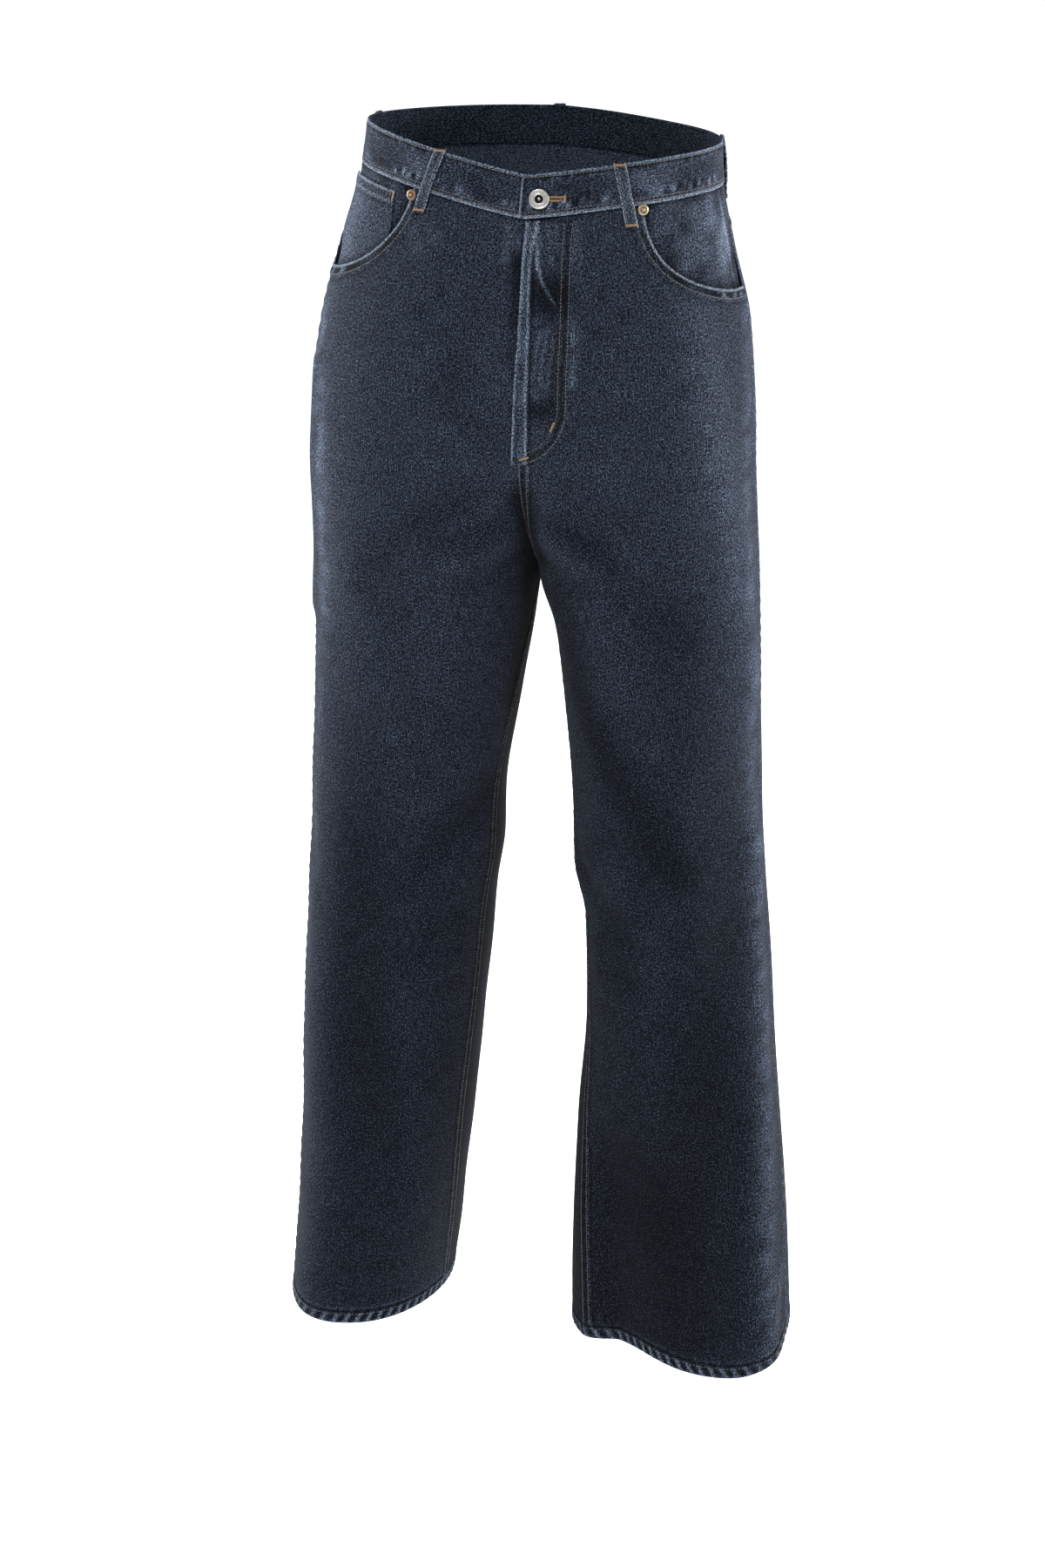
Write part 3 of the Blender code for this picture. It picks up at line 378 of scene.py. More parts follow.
def bandEdge(side, panel, share):
    middle = waistTopFront if panel == "front" else waistTopBack
    top = waistTopSide[side]
    dip = np.clip(1 - np.clip(share, 0, 1) ** waistDip, 0, 1)
    return top + (middle - top) * (1 - dip ** waistVee)


def waistSeam(side, panel, share):
    return bandEdge(side, panel, share) - bandHeight


def hemEdge(side, panel, share):
    line = hemLines[side]
    level = line.outer + (line.inner - line.outer) * share
    if panel == "back":
        return level + line.back * np.sin(math.pi * share) ** 2
    turned = share ** (math.log(0.5) / math.log(line.frontLow))
    return level + line.front * np.sin(math.pi * turned) ** 2


# Distance to a path, and how far along it the nearest place is
def nearPath(x, z, pathX, pathZ):
    best = np.full(np.shape(x), 1e9)
    along = np.zeros(np.shape(x))
    done = 0.0
    for x0, z0, x1, z1 in zip(pathX, pathZ, pathX[1:], pathZ[1:]):
        dx, dz = x1 - x0, z1 - z0
        long = math.hypot(dx, dz)
        t = np.clip(((x - x0) * dx + (z - z0) * dz) / long ** 2, 0, 1)
        near = np.hypot(x - x0 - t * dx, z - z0 - t * dz)
        closer = near < best
        best = np.where(closer, near, best)
        along = np.where(closer, done + t * long, along)
        done += long
    return best, along


def finishMesh(obj, material):
    obj.data.materials.append(material)
    obj.data.shade_smooth()
    bpy.context.scene.collection.objects.link(obj)
    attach(obj, "root")
    return obj


# A grid wrapped by wrap(column, row), which gives places, normals, texture places, wear with
# painted highlight, and painted shade for arrays of column and row numbers
def clothPiece(name, columns, rows, wrap, material, thick, closed=False, inside=None):
    bm = bmesh.new()
    bmesh.ops.create_grid(bm, x_segments=columns, y_segments=rows, size=0.5)
    mesh = bpy.data.meshes.new(name)
    bm.to_mesh(mesh)
    bm.free()
    count = len(mesh.vertices)
    flat = np.empty(count * 3)
    mesh.vertices.foreach_get("co", flat)
    flat = flat.reshape(-1, 3)
    column = np.rint((flat[:, 0] + 0.5) * columns).astype(int)
    row = np.rint((flat[:, 1] + 0.5) * rows).astype(int)
    place, normal, texture, wear, shade = wrap(column, row)
    mesh.vertices.foreach_set("co", place.ravel())
    corner = np.empty(len(mesh.loops), int)
    mesh.loops.foreach_get("vertex_index", corner)
    layer = mesh.uv_layers.new(name="cloth")
    layer.data.foreach_set("uv", texture[corner].ravel())
    for label, values in (("wear", wear), ("shade", shade)):
        layer = mesh.attributes.new(label, "FLOAT", "POINT")
        layer.data.foreach_set("value", np.clip(values, 0, 1).astype(np.float32))
    mesh.update()
    faceNormal = np.empty(len(mesh.polygons) * 3)
    mesh.polygons.foreach_get("normal", faceNormal)
    starts = np.empty(len(mesh.polygons), int)
    mesh.polygons.foreach_get("loop_start", starts)
    if (faceNormal.reshape(-1, 3) * normal[corner[starts]]).sum(1).mean() < 0:
        mesh.flip_normals()
    if closed:
        bm = bmesh.new()
        bm.from_mesh(mesh)
        bmesh.ops.remove_doubles(bm, verts=bm.verts[:], dist=2e-6)
        bm.to_mesh(mesh)
        bm.free()
    obj = finishMesh(bpy.data.objects.new(name, mesh), material)
    if thick:
        obj.data.materials.append(inside or denimInside)
        shell = obj.modifiers.new("thickness", "SOLIDIFY")
        shell.thickness = thick
        shell.offset = -1
        shell.material_offset = 1
        shell.material_offset_rim = 0 if inside is None else 1
    return obj


# Shares from start to end, closer together near the ends
def graded(start, end, count, edge, bothEnds=True):
    t = np.linspace(0, 1, count + 1)
    if bothEnds:
        t = t - edge * np.sin(2 * math.pi * t) / (2 * math.pi)
    else:
        t = t + edge * np.sin(math.pi * t) / math.pi
    return start + (end - start) * t


# Evenly spaced places on a path, with its direction and normal at each
def spread(points, normals, pitch):
    steps = np.linalg.norm(np.diff(points, axis=0), axis=1)
    far = np.concatenate([[0], np.cumsum(steps)])
    count = max(int(round(far[-1] / pitch)), 1)
    at = (np.arange(count) + 0.5) * far[-1] / count
    place = np.stack([np.interp(at, far, points[:, k]) for k in range(3)], -1)
    normal = np.stack([np.interp(at, far, normals[:, k]) for k in range(3)], -1)
    ahead = np.stack([np.interp(at + pitch / 3, far, points[:, k]) for k in range(3)], -1)
    behind = np.stack([np.interp(at - pitch / 3, far, points[:, k]) for k in range(3)], -1)
    return place, ahead - behind, normal


sewing = {
    "pitch": 0.0031, "stitch": 0.0025, "width": 0.00052, "height": 0.00042, "proud": 0.0001,
    "twin": (0.0018, 0.0080), "step": 0.004, "barWidth": 0.0008, "barHeight": 0.0007,
    "barPitch": 0.00062, "sides": 6, "rings": 4,
}
threadPieces = {}


def addStitches(piece, place, along, normal, thread, length, width, height):
    stitches = threadPieces.setdefault((piece, thread), [])
    for p, a, n in zip(place, along, normal):
        a, n = Vector(a).normalized(), Vector(n).normalized()
        b = n.cross(a).normalized()
        a = b.cross(n)
        turn = Matrix((a, b, n)).transposed().to_4x4()
        size = Matrix.Diagonal((length / 2, width / 2, height / 2, 1))
        stitches.append(Matrix.Translation(p) @ turn @ size)


# A row of stitches along points
def sewAlong(piece, points, normals, pitch=None):
    place, along, normal = spread(points, normals, pitch or sewing["pitch"])
    addStitches(piece, place, along, normal, "pale", sewing["stitch"], sewing["width"],
                sewing["height"])


# A row of stitches along runs and heights on one side of the body
def seam(piece, side, run, z, out, pitch=None):
    sewAlong(piece, *onBody(side, run, z, out + sewing["proud"]), pitch)


# A bar of tan thread across a line of points
def bar(piece, points, normals, high, wide=sewing["barWidth"], thick=sewing["barHeight"]):
    up = np.cross(normals, np.gradient(points, axis=0))
    addStitches(piece, points, up, normals, "tan", high, wide, thick)


# A dense upright bar of thread: fine stitches side by side, centred on a place
def bartack(piece, side, run, z, out, across, high):
    count = int(across / sewing["barPitch"])
    t = (np.arange(count) + 0.5) / count - 0.5
    runs = run + t * across * math.cos(math.pi / 2)
    heights = z + t * across * math.sin(math.pi / 2)
    bar(piece, *onBody(side, runs, heights, out), high)


def makeThread(materials):
    made = []
    lie = Matrix.Rotation(math.pi / 2, 4, "Y")
    for (piece, thread), matrices in threadPieces.items():
        name = f"stitches_{thread}_{piece}"
        mesh = bpy.data.meshes.new(name)
        joined = bmesh.new()
        few = 24
        for first in range(0, len(matrices), few):
            bm = bmesh.new()
            for matrix in matrices[first:first + few]:
                bmesh.ops.create_uvsphere(
                    bm, u_segments=sewing["sides"], v_segments=sewing["rings"], radius=1,
                    matrix=matrix @ lie,
                )
            bm.to_mesh(mesh)
            bm.free()
            joined.from_mesh(mesh)
        joined.to_mesh(mesh)
        joined.free()
        obj = finishMesh(bpy.data.objects.new(name, mesh), materials[thread])
        made.append(obj)
    print("sewn", sum(len(m) for m in threadPieces.values()), "stitches")
    return made


# A turned piece: a profile of (radius, height, painted shade) spun round its axis
def turnedPiece(name, profile, place, axis, material, steps=64):
    bm = bmesh.new()
    layer = bm.verts.layers.float.new("shade")
    verts = [bm.verts.new((radius, 0, height)) for radius, height, _ in profile]
    for vert, (_, _, shade) in zip(verts, profile):
        vert[layer] = shade
    edges = [bm.edges.new(pair) for pair in zip(verts, verts[1:])]
    bmesh.ops.spin(bm, geom=verts + edges, cent=(0, 0, 0), axis=(0, 0, 1),
                   angle=2 * math.pi, steps=steps, use_merge=True)
    bmesh.ops.remove_doubles(bm, verts=bm.verts[:], dist=1e-6)
    bmesh.ops.recalc_face_normals(bm, faces=bm.faces[:])
    turn = Vector((0, 0, 1)).rotation_difference(Vector(axis)).to_matrix().to_4x4()
    bmesh.ops.transform(bm, matrix=Matrix.Translation(place) @ turn, verts=bm.verts[:])
    mesh = bpy.data.meshes.new(name)
    bm.to_mesh(mesh)
    bm.free()
    return finishMesh(bpy.data.objects.new(name, mesh), material)


# A number that a shader works out
class value:
    tree = None

    def __init__(self, socket):
        self.socket = socket

    @classmethod
    def node(cls, kind, settings=None, **inputs):
        made = cls.tree.nodes.new(kind)
        for key, setting in (settings or {}).items():
            setattr(made, key, setting)
        for key, given in inputs.items():
            socket = made.inputs[int(key[1:]) if key[0] == "_" else key.replace("_", " ")]
            if isinstance(given, value):
                cls.tree.links.new(given.socket, socket)
            else:
                socket.default_value = given
        return made

    @classmethod
    def maths(cls, operation, *inputs):
        made = cls.node("ShaderNodeMath", {"operation": operation},
                        **{f"_{k}": given for k, given in enumerate(inputs)})
        return cls(made.outputs[0])

    def __add__(self, other):
        return self.maths("ADD", self, other)

    def __radd__(self, other):
        return self.maths("ADD", other, self)

    def __sub__(self, other):
        return self.maths("SUBTRACT", self, other)

    def __rsub__(self, other):
        return self.maths("SUBTRACT", other, self)

    def __mul__(self, other):
        return self.maths("MULTIPLY", self, other)

    def __rmul__(self, other):
        return self.maths("MULTIPLY", other, self)

    def clamped(self):
        return self.maths("MINIMUM", self.maths("MAXIMUM", self, 0.0), 1.0)


def newMaterial(name):
    material = bpy.data.materials.new(name)
    material.use_nodes = True
    value.tree = material.node_tree
    return material, material.node_tree.nodes["Principled BSDF"]


def noise(place, scale, detail=2.0, roughness=0.5):
    made = value.node("ShaderNodeTexNoise", {"noise_dimensions": "3D"},
                      Vector=place, Scale=scale, Detail=detail, Roughness=roughness)
    return value(made.outputs["Fac"])


def stretched(place, x, y):
    made = value.node("ShaderNodeVectorMath", {"operation": "MULTIPLY"}, _0=place, _1=(x, y, 1.0))
    return value(made.outputs[0])


def blend(amount, a, b):
    made = value.node("ShaderNodeMix", {"data_type": "RGBA"}, _0=amount, _6=a, _7=b)
    return value(made.outputs[2])


# deep to pale is the yarn; the palest shows where wear and painted highlight raise the tone; the near-black
# is what painted shade blends towards
denimLook = {
    "deep": (0.0036, 0.0044, 0.0080, 1), "pale": (0.088, 0.111, 0.160, 1),
    "worn": (0.29, 0.36, 0.46, 1), "dark": (0.0016, 0.0019, 0.0026, 1),
    "streak": 0.95, "speckle": 3.4, "cloud": 0.16, "level": 0.120, "rough": 0.95,
    "specular": 0.05, "sheen": 0.01,
}


# Indigo twill: dark warp with pale weft showing through, in slubby streaks
def denim(name, look, turned=False, wornMore=0.0, fresh=False):
    material, shader = newMaterial(name)
    uv = value(value.node("ShaderNodeUVMap", {"uv_map": "cloth"}).outputs[0])
    if turned:
        parts = value.node("ShaderNodeSeparateXYZ", _0=uv)
        made = value.node("ShaderNodeCombineXYZ", _0=value(parts.outputs[1]),
                          _1=value(parts.outputs[0]))
        uv = value(made.outputs[0])
    # the wear with painted highlight, and the painted shade, that each piece stores
    wear = value(value.node("ShaderNodeAttribute", {"attribute_name": "wear"}).outputs["Fac"])
    shade = value(value.node("ShaderNodeAttribute", {"attribute_name": "shade"}).outputs["Fac"])
    if fresh:
        wear, shade = wear * 0.0, shade * 0.0
    streak = noise(stretched(uv, 900, 60), 1.0, 3.0, 0.6)
    fineStreak = noise(stretched(uv, 1300, 260), 1.0, 1.0)
    speckle = noise(stretched(uv, 1000, 560), 1.0, 2.0, 0.7)
    cloud = noise(stretched(uv, 16, 9), 1.0, 3.0)
    patchy = noise(stretched(uv, 60, 45), 1.0, 2.0)
    grain = (
        (streak - 0.5) * look["streak"] + (fineStreak - 0.5) * (0.7 * look["streak"])
        + (speckle - 0.5) * look["speckle"]
    )
    # wear and painted highlight raise the tone, painted shade lowers it
    tone = (
        look["level"] + wornMore + grain * (1.0 + wear * 0.5)
        + (cloud - 0.5) * look["cloud"] + (patchy - 0.5) * (0.6 * look["cloud"]) + wear * 0.62
        - shade * 0.26
    )
    color = blend(tone.clamped(), look["deep"], look["pale"])
    bright = (tone - 0.72 + wear * 0.15).clamped() * 0.8
    color = blend(bright, color, look["worn"])
    # painted shade: the shade attribute darkens the cloth towards near black
    color = blend((shade * 0.66).clamped(), color, look["dark"])
    value.tree.links.new(color.socket, shader.inputs["Base Color"])
    shader.inputs["Roughness"].default_value = look["rough"]
    shader.inputs["Specular IOR Level"].default_value = look["specular"]
    shader.inputs["Sheen Weight"].default_value = look["sheen"]
    shader.inputs["Sheen Roughness"].default_value = 0.5
    parts = value.node("ShaderNodeSeparateXYZ", _0=uv)
    diagonal = value(parts.outputs[0]) * 5200.0 + value(parts.outputs[1]) * 3900.0
    twill = value.maths("SINE", diagonal)
    height = twill * 0.4 + (fineStreak - 0.5) * 1.2 + (speckle - 0.5) * 1.6
    bump = value.node("ShaderNodeBump", Strength=0.55, Distance=0.00035, Height=height)
    value.tree.links.new(bump.outputs[0], shader.inputs["Normal"])
    return material


def threadMaterial(name, color, rough=0.7):
    material, shader = newMaterial(name)
    place = value(value.node("ShaderNodeTexCoord").outputs["Object"])
    tone = noise(place, 900.0)
    dark = tuple(0.55 * c for c in color[:3]) + (1,)
    linked = blend(tone, dark, color)
    value.tree.links.new(linked.socket, shader.inputs["Base Color"])
    shader.inputs["Roughness"].default_value = rough
    return material


def metalMaterial(name, bright, dull, rough):
    material, shader = newMaterial(name)
    place = value(value.node("ShaderNodeTexCoord").outputs["Object"])
    tone = noise(place, 700.0, 4.0)
    shade = value(value.node("ShaderNodeAttribute", {"attribute_name": "shade"}).outputs["Fac"])
    # painted shade: the shade attribute darkens the hollows of the button and rivets
    color = blend(shade.clamped(), blend(tone, dull, bright), (0.020, 0.016, 0.014, 1))
    value.tree.links.new(color.socket, shader.inputs["Base Color"])
    value.tree.links.new((rough + (tone - 0.5) * 0.25).socket, shader.inputs["Roughness"])
    shader.inputs["Metallic"].default_value = 1.0
    return material


denimPlain = denim("denim", denimLook)
denimInside = denim("denim_inside", dict(denimLook, level=0.42), fresh=True)
denimUnder = denim("denim_under", denimLook, turned=True, fresh=True)
denimCross = denim("denim_cross", denimLook, turned=True, wornMore=0.04)
threads = {
    "pale": threadMaterial("thread_pale", (0.20, 0.172, 0.128, 1)),
    "tan": threadMaterial("thread_tan", (0.35, 0.205, 0.10, 1)),
}
nickel = metalMaterial("nickel", (0.66, 0.65, 0.62, 1), (0.36, 0.35, 0.33, 1), 0.34)
copper = metalMaterial("copper", (0.32, 0.20, 0.13, 1), (0.12, 0.075, 0.05, 1), 0.45)
brass = metalMaterial("brass", (0.50, 0.40, 0.25, 1), (0.24, 0.18, 0.11, 1), 0.40)


scoop = namedtuple("scoop", "span drop curve")
scoops = {"right": scoop(0.104, 0.090, 1.90), "left": scoop(0.107, 0.085, 2.3)}


def pocketShare(side):
    return scoops[side].span / float(
        body[side].length("front", float(waistSeam(side, "front", 0.4)))
    )


def scoopEdge(side, share):
    top = waistSeam(side, "front", share)
    across = np.clip(share / pocketShare(side), 0, 1)
    one = scoops[side]
    return top - one.drop * (1 - across ** one.curve) ** (1 / one.curve)


# The scooped edge as runs and heights, from the side seam to its inner end
def scoopLine(side, count=48):
    one = scoops[side]
    turn = np.linspace(0, math.pi / 2, count)
    share = np.sin(turn) ** (2 / one.curve) * pocketShare(side)
    z = waistSeam(side, "front", share) - one.drop * np.cos(turn) ** (2 / one.curve)
    return -share * body[side].length("front", z), z


scoopLines = {side: scoopLine(side) for side in body}
frontLook = {
    "pocketColumns": 32, "restColumns": 66, "mouthRows": 12, "upRows": 58, "legRows": 262,
    "mouth": 0.0088, "mouthRise": 0.0008, "mouthSeams": (0.0019, 0.0083), "mouthDeep": 0.0125,
    "ropePitch": 0.0042, "flyFoot": -0.270,
}


def window(x, low, high, soft=0.001):
    return smooth((x - low) / soft) * smooth((high - x) / soft)


# Paler strokes of worn dye and painted highlight (amount above 0) and strokes of painted shade (below 0),
# like the folds
tones = [
    # the ridge down the left thigh, and both outer edges: wear and painted highlight, with a line of painted
    # shade beside the right side seam
    fold("left", -0.099, -0.132, -0.087, -0.226, 0.0150, 0.14),
    fold("left", -0.087, -0.226, -0.068, -0.326, 0.0150, 0.18),
    fold("left", -0.068, -0.326, -0.056, -0.404, 0.0130, 0.20),
    fold("left", -0.010, -0.146, -0.036, -0.408, 0.0110, 0.34),
    fold("left", -0.026, -0.450, -0.040, -1.060, 0.0140, 0.36),
    fold("left", -0.016, -1.030, -0.050, -1.096, 0.0060, 0.34),
    fold("right", -0.026, -0.150, -0.058, -0.418, 0.0170, 0.52),
    fold("right", -0.050, -0.430, -0.030, -0.900, 0.0110, 0.24),
    fold("right", -0.008, -0.230, -0.009, -0.430, 0.0035, -0.50),
    # beside the fly: painted shade in the hollow beside it, and paler worn marks
    fold("right", -0.219, -0.096, -0.228, -0.120, 0.0075, -0.80),
    fold("right", -0.227, -0.118, -0.233, -0.150, 0.0060, -0.55),
    fold("right", -0.234, -0.150, -0.240, -0.200, 0.0060, -0.22),
    fold("right", -0.202, -0.068, -0.210, -0.096, 0.0040, 0.45),
    fold("right", -0.207, -0.064, -0.215, -0.082, 0.0035, 0.35),
    fold("left", -0.192, -0.150, -0.198, -0.202, 0.0040, 0.45),
    fold("left", -0.171, -0.066, -0.175, -0.096, 0.0060, 0.30),
    # the ends of the pockets
    fold("right", -0.110, -0.064, -0.100, -0.078, 0.0040, 0.34),
    fold("right", -0.120, -0.072, -0.133, -0.092, 0.0040, 0.34),
    fold("right", -0.132, -0.070, -0.142, -0.084, 0.0040, 0.28),
    fold("left", -0.105, -0.068, -0.113, -0.088, 0.0040, 0.34),
    fold("left", -0.099, -0.080, -0.097, -0.100, 0.0040, 0.30),
    # the fork, the insides of the thighs and hollows lower down the legs: painted shade, with one paler
    # stroke
    fold("right", -0.258, -0.304, -0.300, -0.378, 0.0140, -0.90),
    fold("right", -0.300, -0.378, -0.304, -0.422, 0.0190, -1.00),
    fold("right", -0.304, -0.422, -0.282, -0.500, 0.0160, -0.90),
    fold("left", -0.245, -0.300, -0.262, -0.365, 0.0100, -0.65),
    fold("left", -0.235, -0.396, -0.223, -0.484, 0.0200, -0.40),
    fold("left", -0.223, -0.484, -0.184, -0.540, 0.0220, -0.45),
    fold("left", -0.184, -0.540, -0.127, -0.630, 0.0260, -0.50),
    fold("left", -0.160, -0.700, -0.130, -1.040, 0.0450, -0.15),
    fold("right", -0.173, -0.202, -0.231, -0.244, 0.0120, -0.14),
    fold("right", -0.248, -0.324, -0.212, -0.352, 0.0120, -0.18),
    fold("right", -0.227, -0.290, -0.164, -0.326, 0.0140, -0.14),
    fold("left", -0.207, -0.288, -0.157, -0.320, 0.0140, -0.14),
    fold("left", -0.220, -0.328, -0.176, -0.358, 0.0120, -0.16),
    fold("right", -0.197, -0.164, -0.241, -0.200, 0.0100, 0.10),
    fold("right", -0.243, -0.584, -0.181, -0.614, 0.0140, -0.18),
    fold("left", -0.220, -0.636, -0.187, -0.606, 0.0120, -0.25),
    fold("right", -0.110, -0.640, -0.100, -1.060, 0.0500, -0.12),
]


# How far fold crests pale (wear and painted highlight) and troughs darken (painted shade)
toneLook = {"crest": 34, "crestMost": 0.16, "trough": 40, "troughMost": 0.30, "creases": 1.6, "patch": 0.028}


# Paler crests (wear and painted highlight), painted shade in the troughs, and darker down the lower legs
# (less faded dye and painted shade)
def foldTone(side, run, z):
    look = toneLook
    lift = foldHeight(side, run, z, folds) + look["creases"] * foldHeight(side, run, z, creases)
    worn, dark = (np.zeros(np.shape(run)) for _ in range(2))
    for row in tones:
        if row.side != side:
            continue
        near, _ = nearPath(run, z, (row.run0, row.run1), (row.z0, row.z1))
        part = abs(row.height) * np.exp(-((near / row.width) ** 2))
        if row.height > 0:
            worn = np.maximum(worn, part)
        else:
            dark = np.maximum(dark, part)
    worn = worn * (0.75 + 0.40 * ripple(side, run, z, 31, look["patch"], 1.0)).clip(0.2, 1.2)
    # painted shade from the strokes, and darker below the fork and down the lower legs: less faded dye and
    # painted shade
    dark = dark + 0.10 * smooth((-0.26 - z) / 0.12) + 0.28 * smooth((-0.42 - z) / 0.45)
    # paler crests: wear and painted highlight
    worn = np.clip(lift * look["crest"], 0, look["crestMost"]) + worn
    return worn, np.clip(-lift * look["trough"], 0, look["troughMost"]) + dark


seamLook = {"lap": 0.0090, "lapRise": 0.0008, "puckerPitch": 0.0105, "trackPitch": 0.0118}


# The lap of a felled seam, with its two rows of stitches sunk in
def felled(inner, pucker, amount):
    look = seamLook
    lap = amount * (1 - smooth((inner - look["lap"]) / 0.0016))
    lift = lap * look["lapRise"] + amount * 0.0003 * pucker * window(inner, 0.0, 0.016, 0.003)
    lift = lift - 0.0004 * amount * (hump(inner, 0.0016, 0.0007) + hump(inner, 0.0080, 0.0007))
    return lift, amount * hump(inner, 0.0096, 0.0010) * (0.42 + 0.3 * pucker)


# The side seam, pressed open inside, with painted shade in its groove
def openSeam(away, z):
    track = 0.5 + 0.5 * np.sin(2 * math.pi * z / seamLook["trackPitch"] + 1.5 * np.sin(z * 55))
    lift = (0.0002 + 0.0007 * track) * window(away, 0.0006, 0.0105, 0.002)
    lift = lift - 0.0007 * hump(away, 0.0, 0.0009)
    wear = hump(away, 0.0020, 0.0016) * (0.20 + 0.5 * track)
    wear = wear + 0.35 * track * hump(away, 0.0100, 0.0022)
    # painted shade in the groove of the seam
    return lift, wear, 0.5 * hump(away, 0.0, 0.0009)


# The roping that runs up from a hem
def aboveHem(run, up):
    rope = np.sin(2 * math.pi * (run / seamLook["puckerPitch"] + up / 0.020) + np.sin(run * 37))
    lift = 0.0005 * rope * np.exp(-up / 0.013) - 0.0005 * hump(up, 0.0, 0.0010)
    return lift, 0.60 * (0.6 + 0.4 * rope) * hump(up, 0.0018, 0.0026)


def frontRelief(side, run, z):
    look = frontLook
    d = -run
    inner = body[side].length("front", z) - d
    lift, wear, shade = (np.zeros(np.shape(run)) for _ in range(3))

    e, along = nearPath(run, z, *scoopLines[side])
    rope = np.sin(2 * math.pi * (along / look["ropePitch"] + e / 0.012))
    band = (1 - smooth((e - look["mouth"]) / 0.0014)) * smooth((0.140 - along) / 0.004)
    between = window(e, 0.0022, 0.0078)
    lift += band * (look["mouthRise"] + 0.00016 * rope * between)
    lift -= 0.0003 * (hump(e, 0.0017, 0.0006) + hump(e, 0.0080, 0.0006)) * band
    lift -= 0.0006 * hump(e, 0.0, 0.0008)
    ladder = smooth((0.062 - along) / 0.02)
    wear += 1.3 * hump(e, 0.0010, 0.0018) + band * between * (0.10 + 1.10 * ladder * rope).clip(0)
    wear += 0.55 * hump(e, 0.0104, 0.0014) * (0.6 + 0.4 * rope)
    # painted shade between the rows, deeper between the ropes, and beside the band's edges
    shade += band * between * (0.72 - 0.60 * rope) + band * 0.45 * hump(e, 0.0034, 0.0010)
    shade += 0.45 * hump(e, 0.0118, 0.0020)

    # centre seam below the fly, and the felled inseam
    leg = smooth((-0.262 - z) / 0.012)
    if side == "right":
        leg = leg * smooth((forkZ - 0.004 - z) / 0.02)
    pucker = np.sin(2 * math.pi * (z / seamLook["puckerPitch"] + inner * 45))
    pucker = pucker * np.sin(2 * math.pi * z / 0.047 + 1)
    rise, worn = felled(inner, pucker, leg)
    lift += rise
    wear += worn + leg * 0.45 * hump(inner, 0.0006, 0.0012)
    # painted shade in the hollows between the inseam's puckers and beside its lap
    spots = 0.5 + 0.5 * np.sin(2 * math.pi * z / 0.0112 + 1.2 * np.sin(z * 61))
    shade += leg * (0.25 + 0.70 * spots) * hump(inner, 0.0048, 0.0028)
    shade += leg * 0.45 * hump(inner, 0.0115, 0.0014)
    lift -= 0.0005 * hump(inner, 0.0, 0.0009)

    rise, worn, dark = openSeam(d, z)
    lift, wear, shade = lift + rise, wear + worn, shade + dark

    # under the waistband, and above the hem, with painted shade along the waist seam and the hem's edge
    share = d / (d + inner)
    w = waistSeam(side, "front", share) - z
    lift -= 0.0006 * hump(w, 0.0, 0.0014)
    lift += 0.00035 * np.sin(2 * math.pi * d / 0.0125) * np.exp(-w / 0.012) * smooth(w / 0.003)
    shade += 0.55 * hump(w, 0.0, 0.0016)
    v = z - hemEdge(side, "front", share) - hemHeight
    rise, worn = aboveHem(run, v)
    lift, wear, shade = lift + rise, wear + worn, shade + 0.3 * hump(v, 0.0, 0.0007)

    crest, trough = foldTone(side, run, z)
    thigh = 0.04 * np.exp(-(((d - 0.085) / 0.06) ** 2)) * window(z, -0.62, -0.16, 0.16)
    return lift, wear + crest + thigh, shade + trough


def frontPanel(side):
    look = frontLook
    edge = pocketShare(side)
    curve = scoops[side].curve
    turn = np.linspace(0, math.pi / 2, look["pocketColumns"] + 1)
    shares = np.concatenate([
        np.array([0.0, 0.0008, 0.0018, 0.003, 0.0048]) / 0.19,
        edge * np.sin(turn[2:]) ** (2 / curve),
        graded(edge, 1, look["restColumns"], 0.76, bothEnds=False)[1:],
    ])
    mouth, up, down = look["mouthRows"], look["upRows"], look["legRows"]
    legShare = graded(0, 1, down, 0.0)
    legShare = legShare + 0.003 * np.sin(math.pi * legShare)

    def wrap(column, row):
        share = shares[column]
        top = scoopEdge(side, share) - gap
        start = top - look["mouthDeep"]
        upShare = np.clip((row - mouth) / up, 0, 1)
        end = hemEdge(side, "front", share) + hemHeight + gap
        low = hipZ + (end - hipZ) * legShare[np.clip(row - mouth - up, 0, down)]
        z = np.where(row <= mouth, top - look["mouthDeep"] * row / mouth, start + (hipZ - start) * upShare)
        z = np.where(row > mouth + up, low, z)
        run = panelRun(side, "front", share, z)
        lift, wear, shade = frontRelief(side, run, z)
        place, normal = onBody(side, run, z, lift)
        return place, normal, np.stack([run, z], -1), wear, shade

    piece = clothPiece(f"denim_front_{side}", len(shares) - 1, mouth + up + down, wrap,
                       denimPlain, clothThick)
    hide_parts(f"front_{side}")

    runs, heights = scoopLines[side]
    dx, dz = np.gradient(runs), np.gradient(heights)
    long = np.hypot(dx, dz)
    for offset in look["mouthSeams"]:
        # down and towards the centre from the edge
        run, z = (runs - offset * dz / long)[2:], (heights + offset * dx / long)[2:]
        seam(f"mouth_{side}", side, run, z, frontRelief(side, run, z)[0])
    highest = look["flyFoot"] if side == "left" else forkZ - 0.014
    lowest = float(hemEdge(side, "front", 1.0)) + hemHeight
    for offset in sewing["twin"]:
        z = np.arange(highest, lowest + 0.002, -sewing["step"])
        run = -(body[side].length("front", z) - offset)
        seam(f"inseam_{side}", side, run, z, frontRelief(side, run, z)[0])
    return piece


yokeLook = {"side": 0.036, "centre": 0.074, "columns": 70, "rows": 46, "under": 0.0016}
backLook = {"columns": 84, "upRows": 60, "legRows": 262}


def yokeSeam(side, share):
    look = yokeLook
    return waistSeam(side, "back", share) - (look["side"] + (look["centre"] - look["side"]) * share)


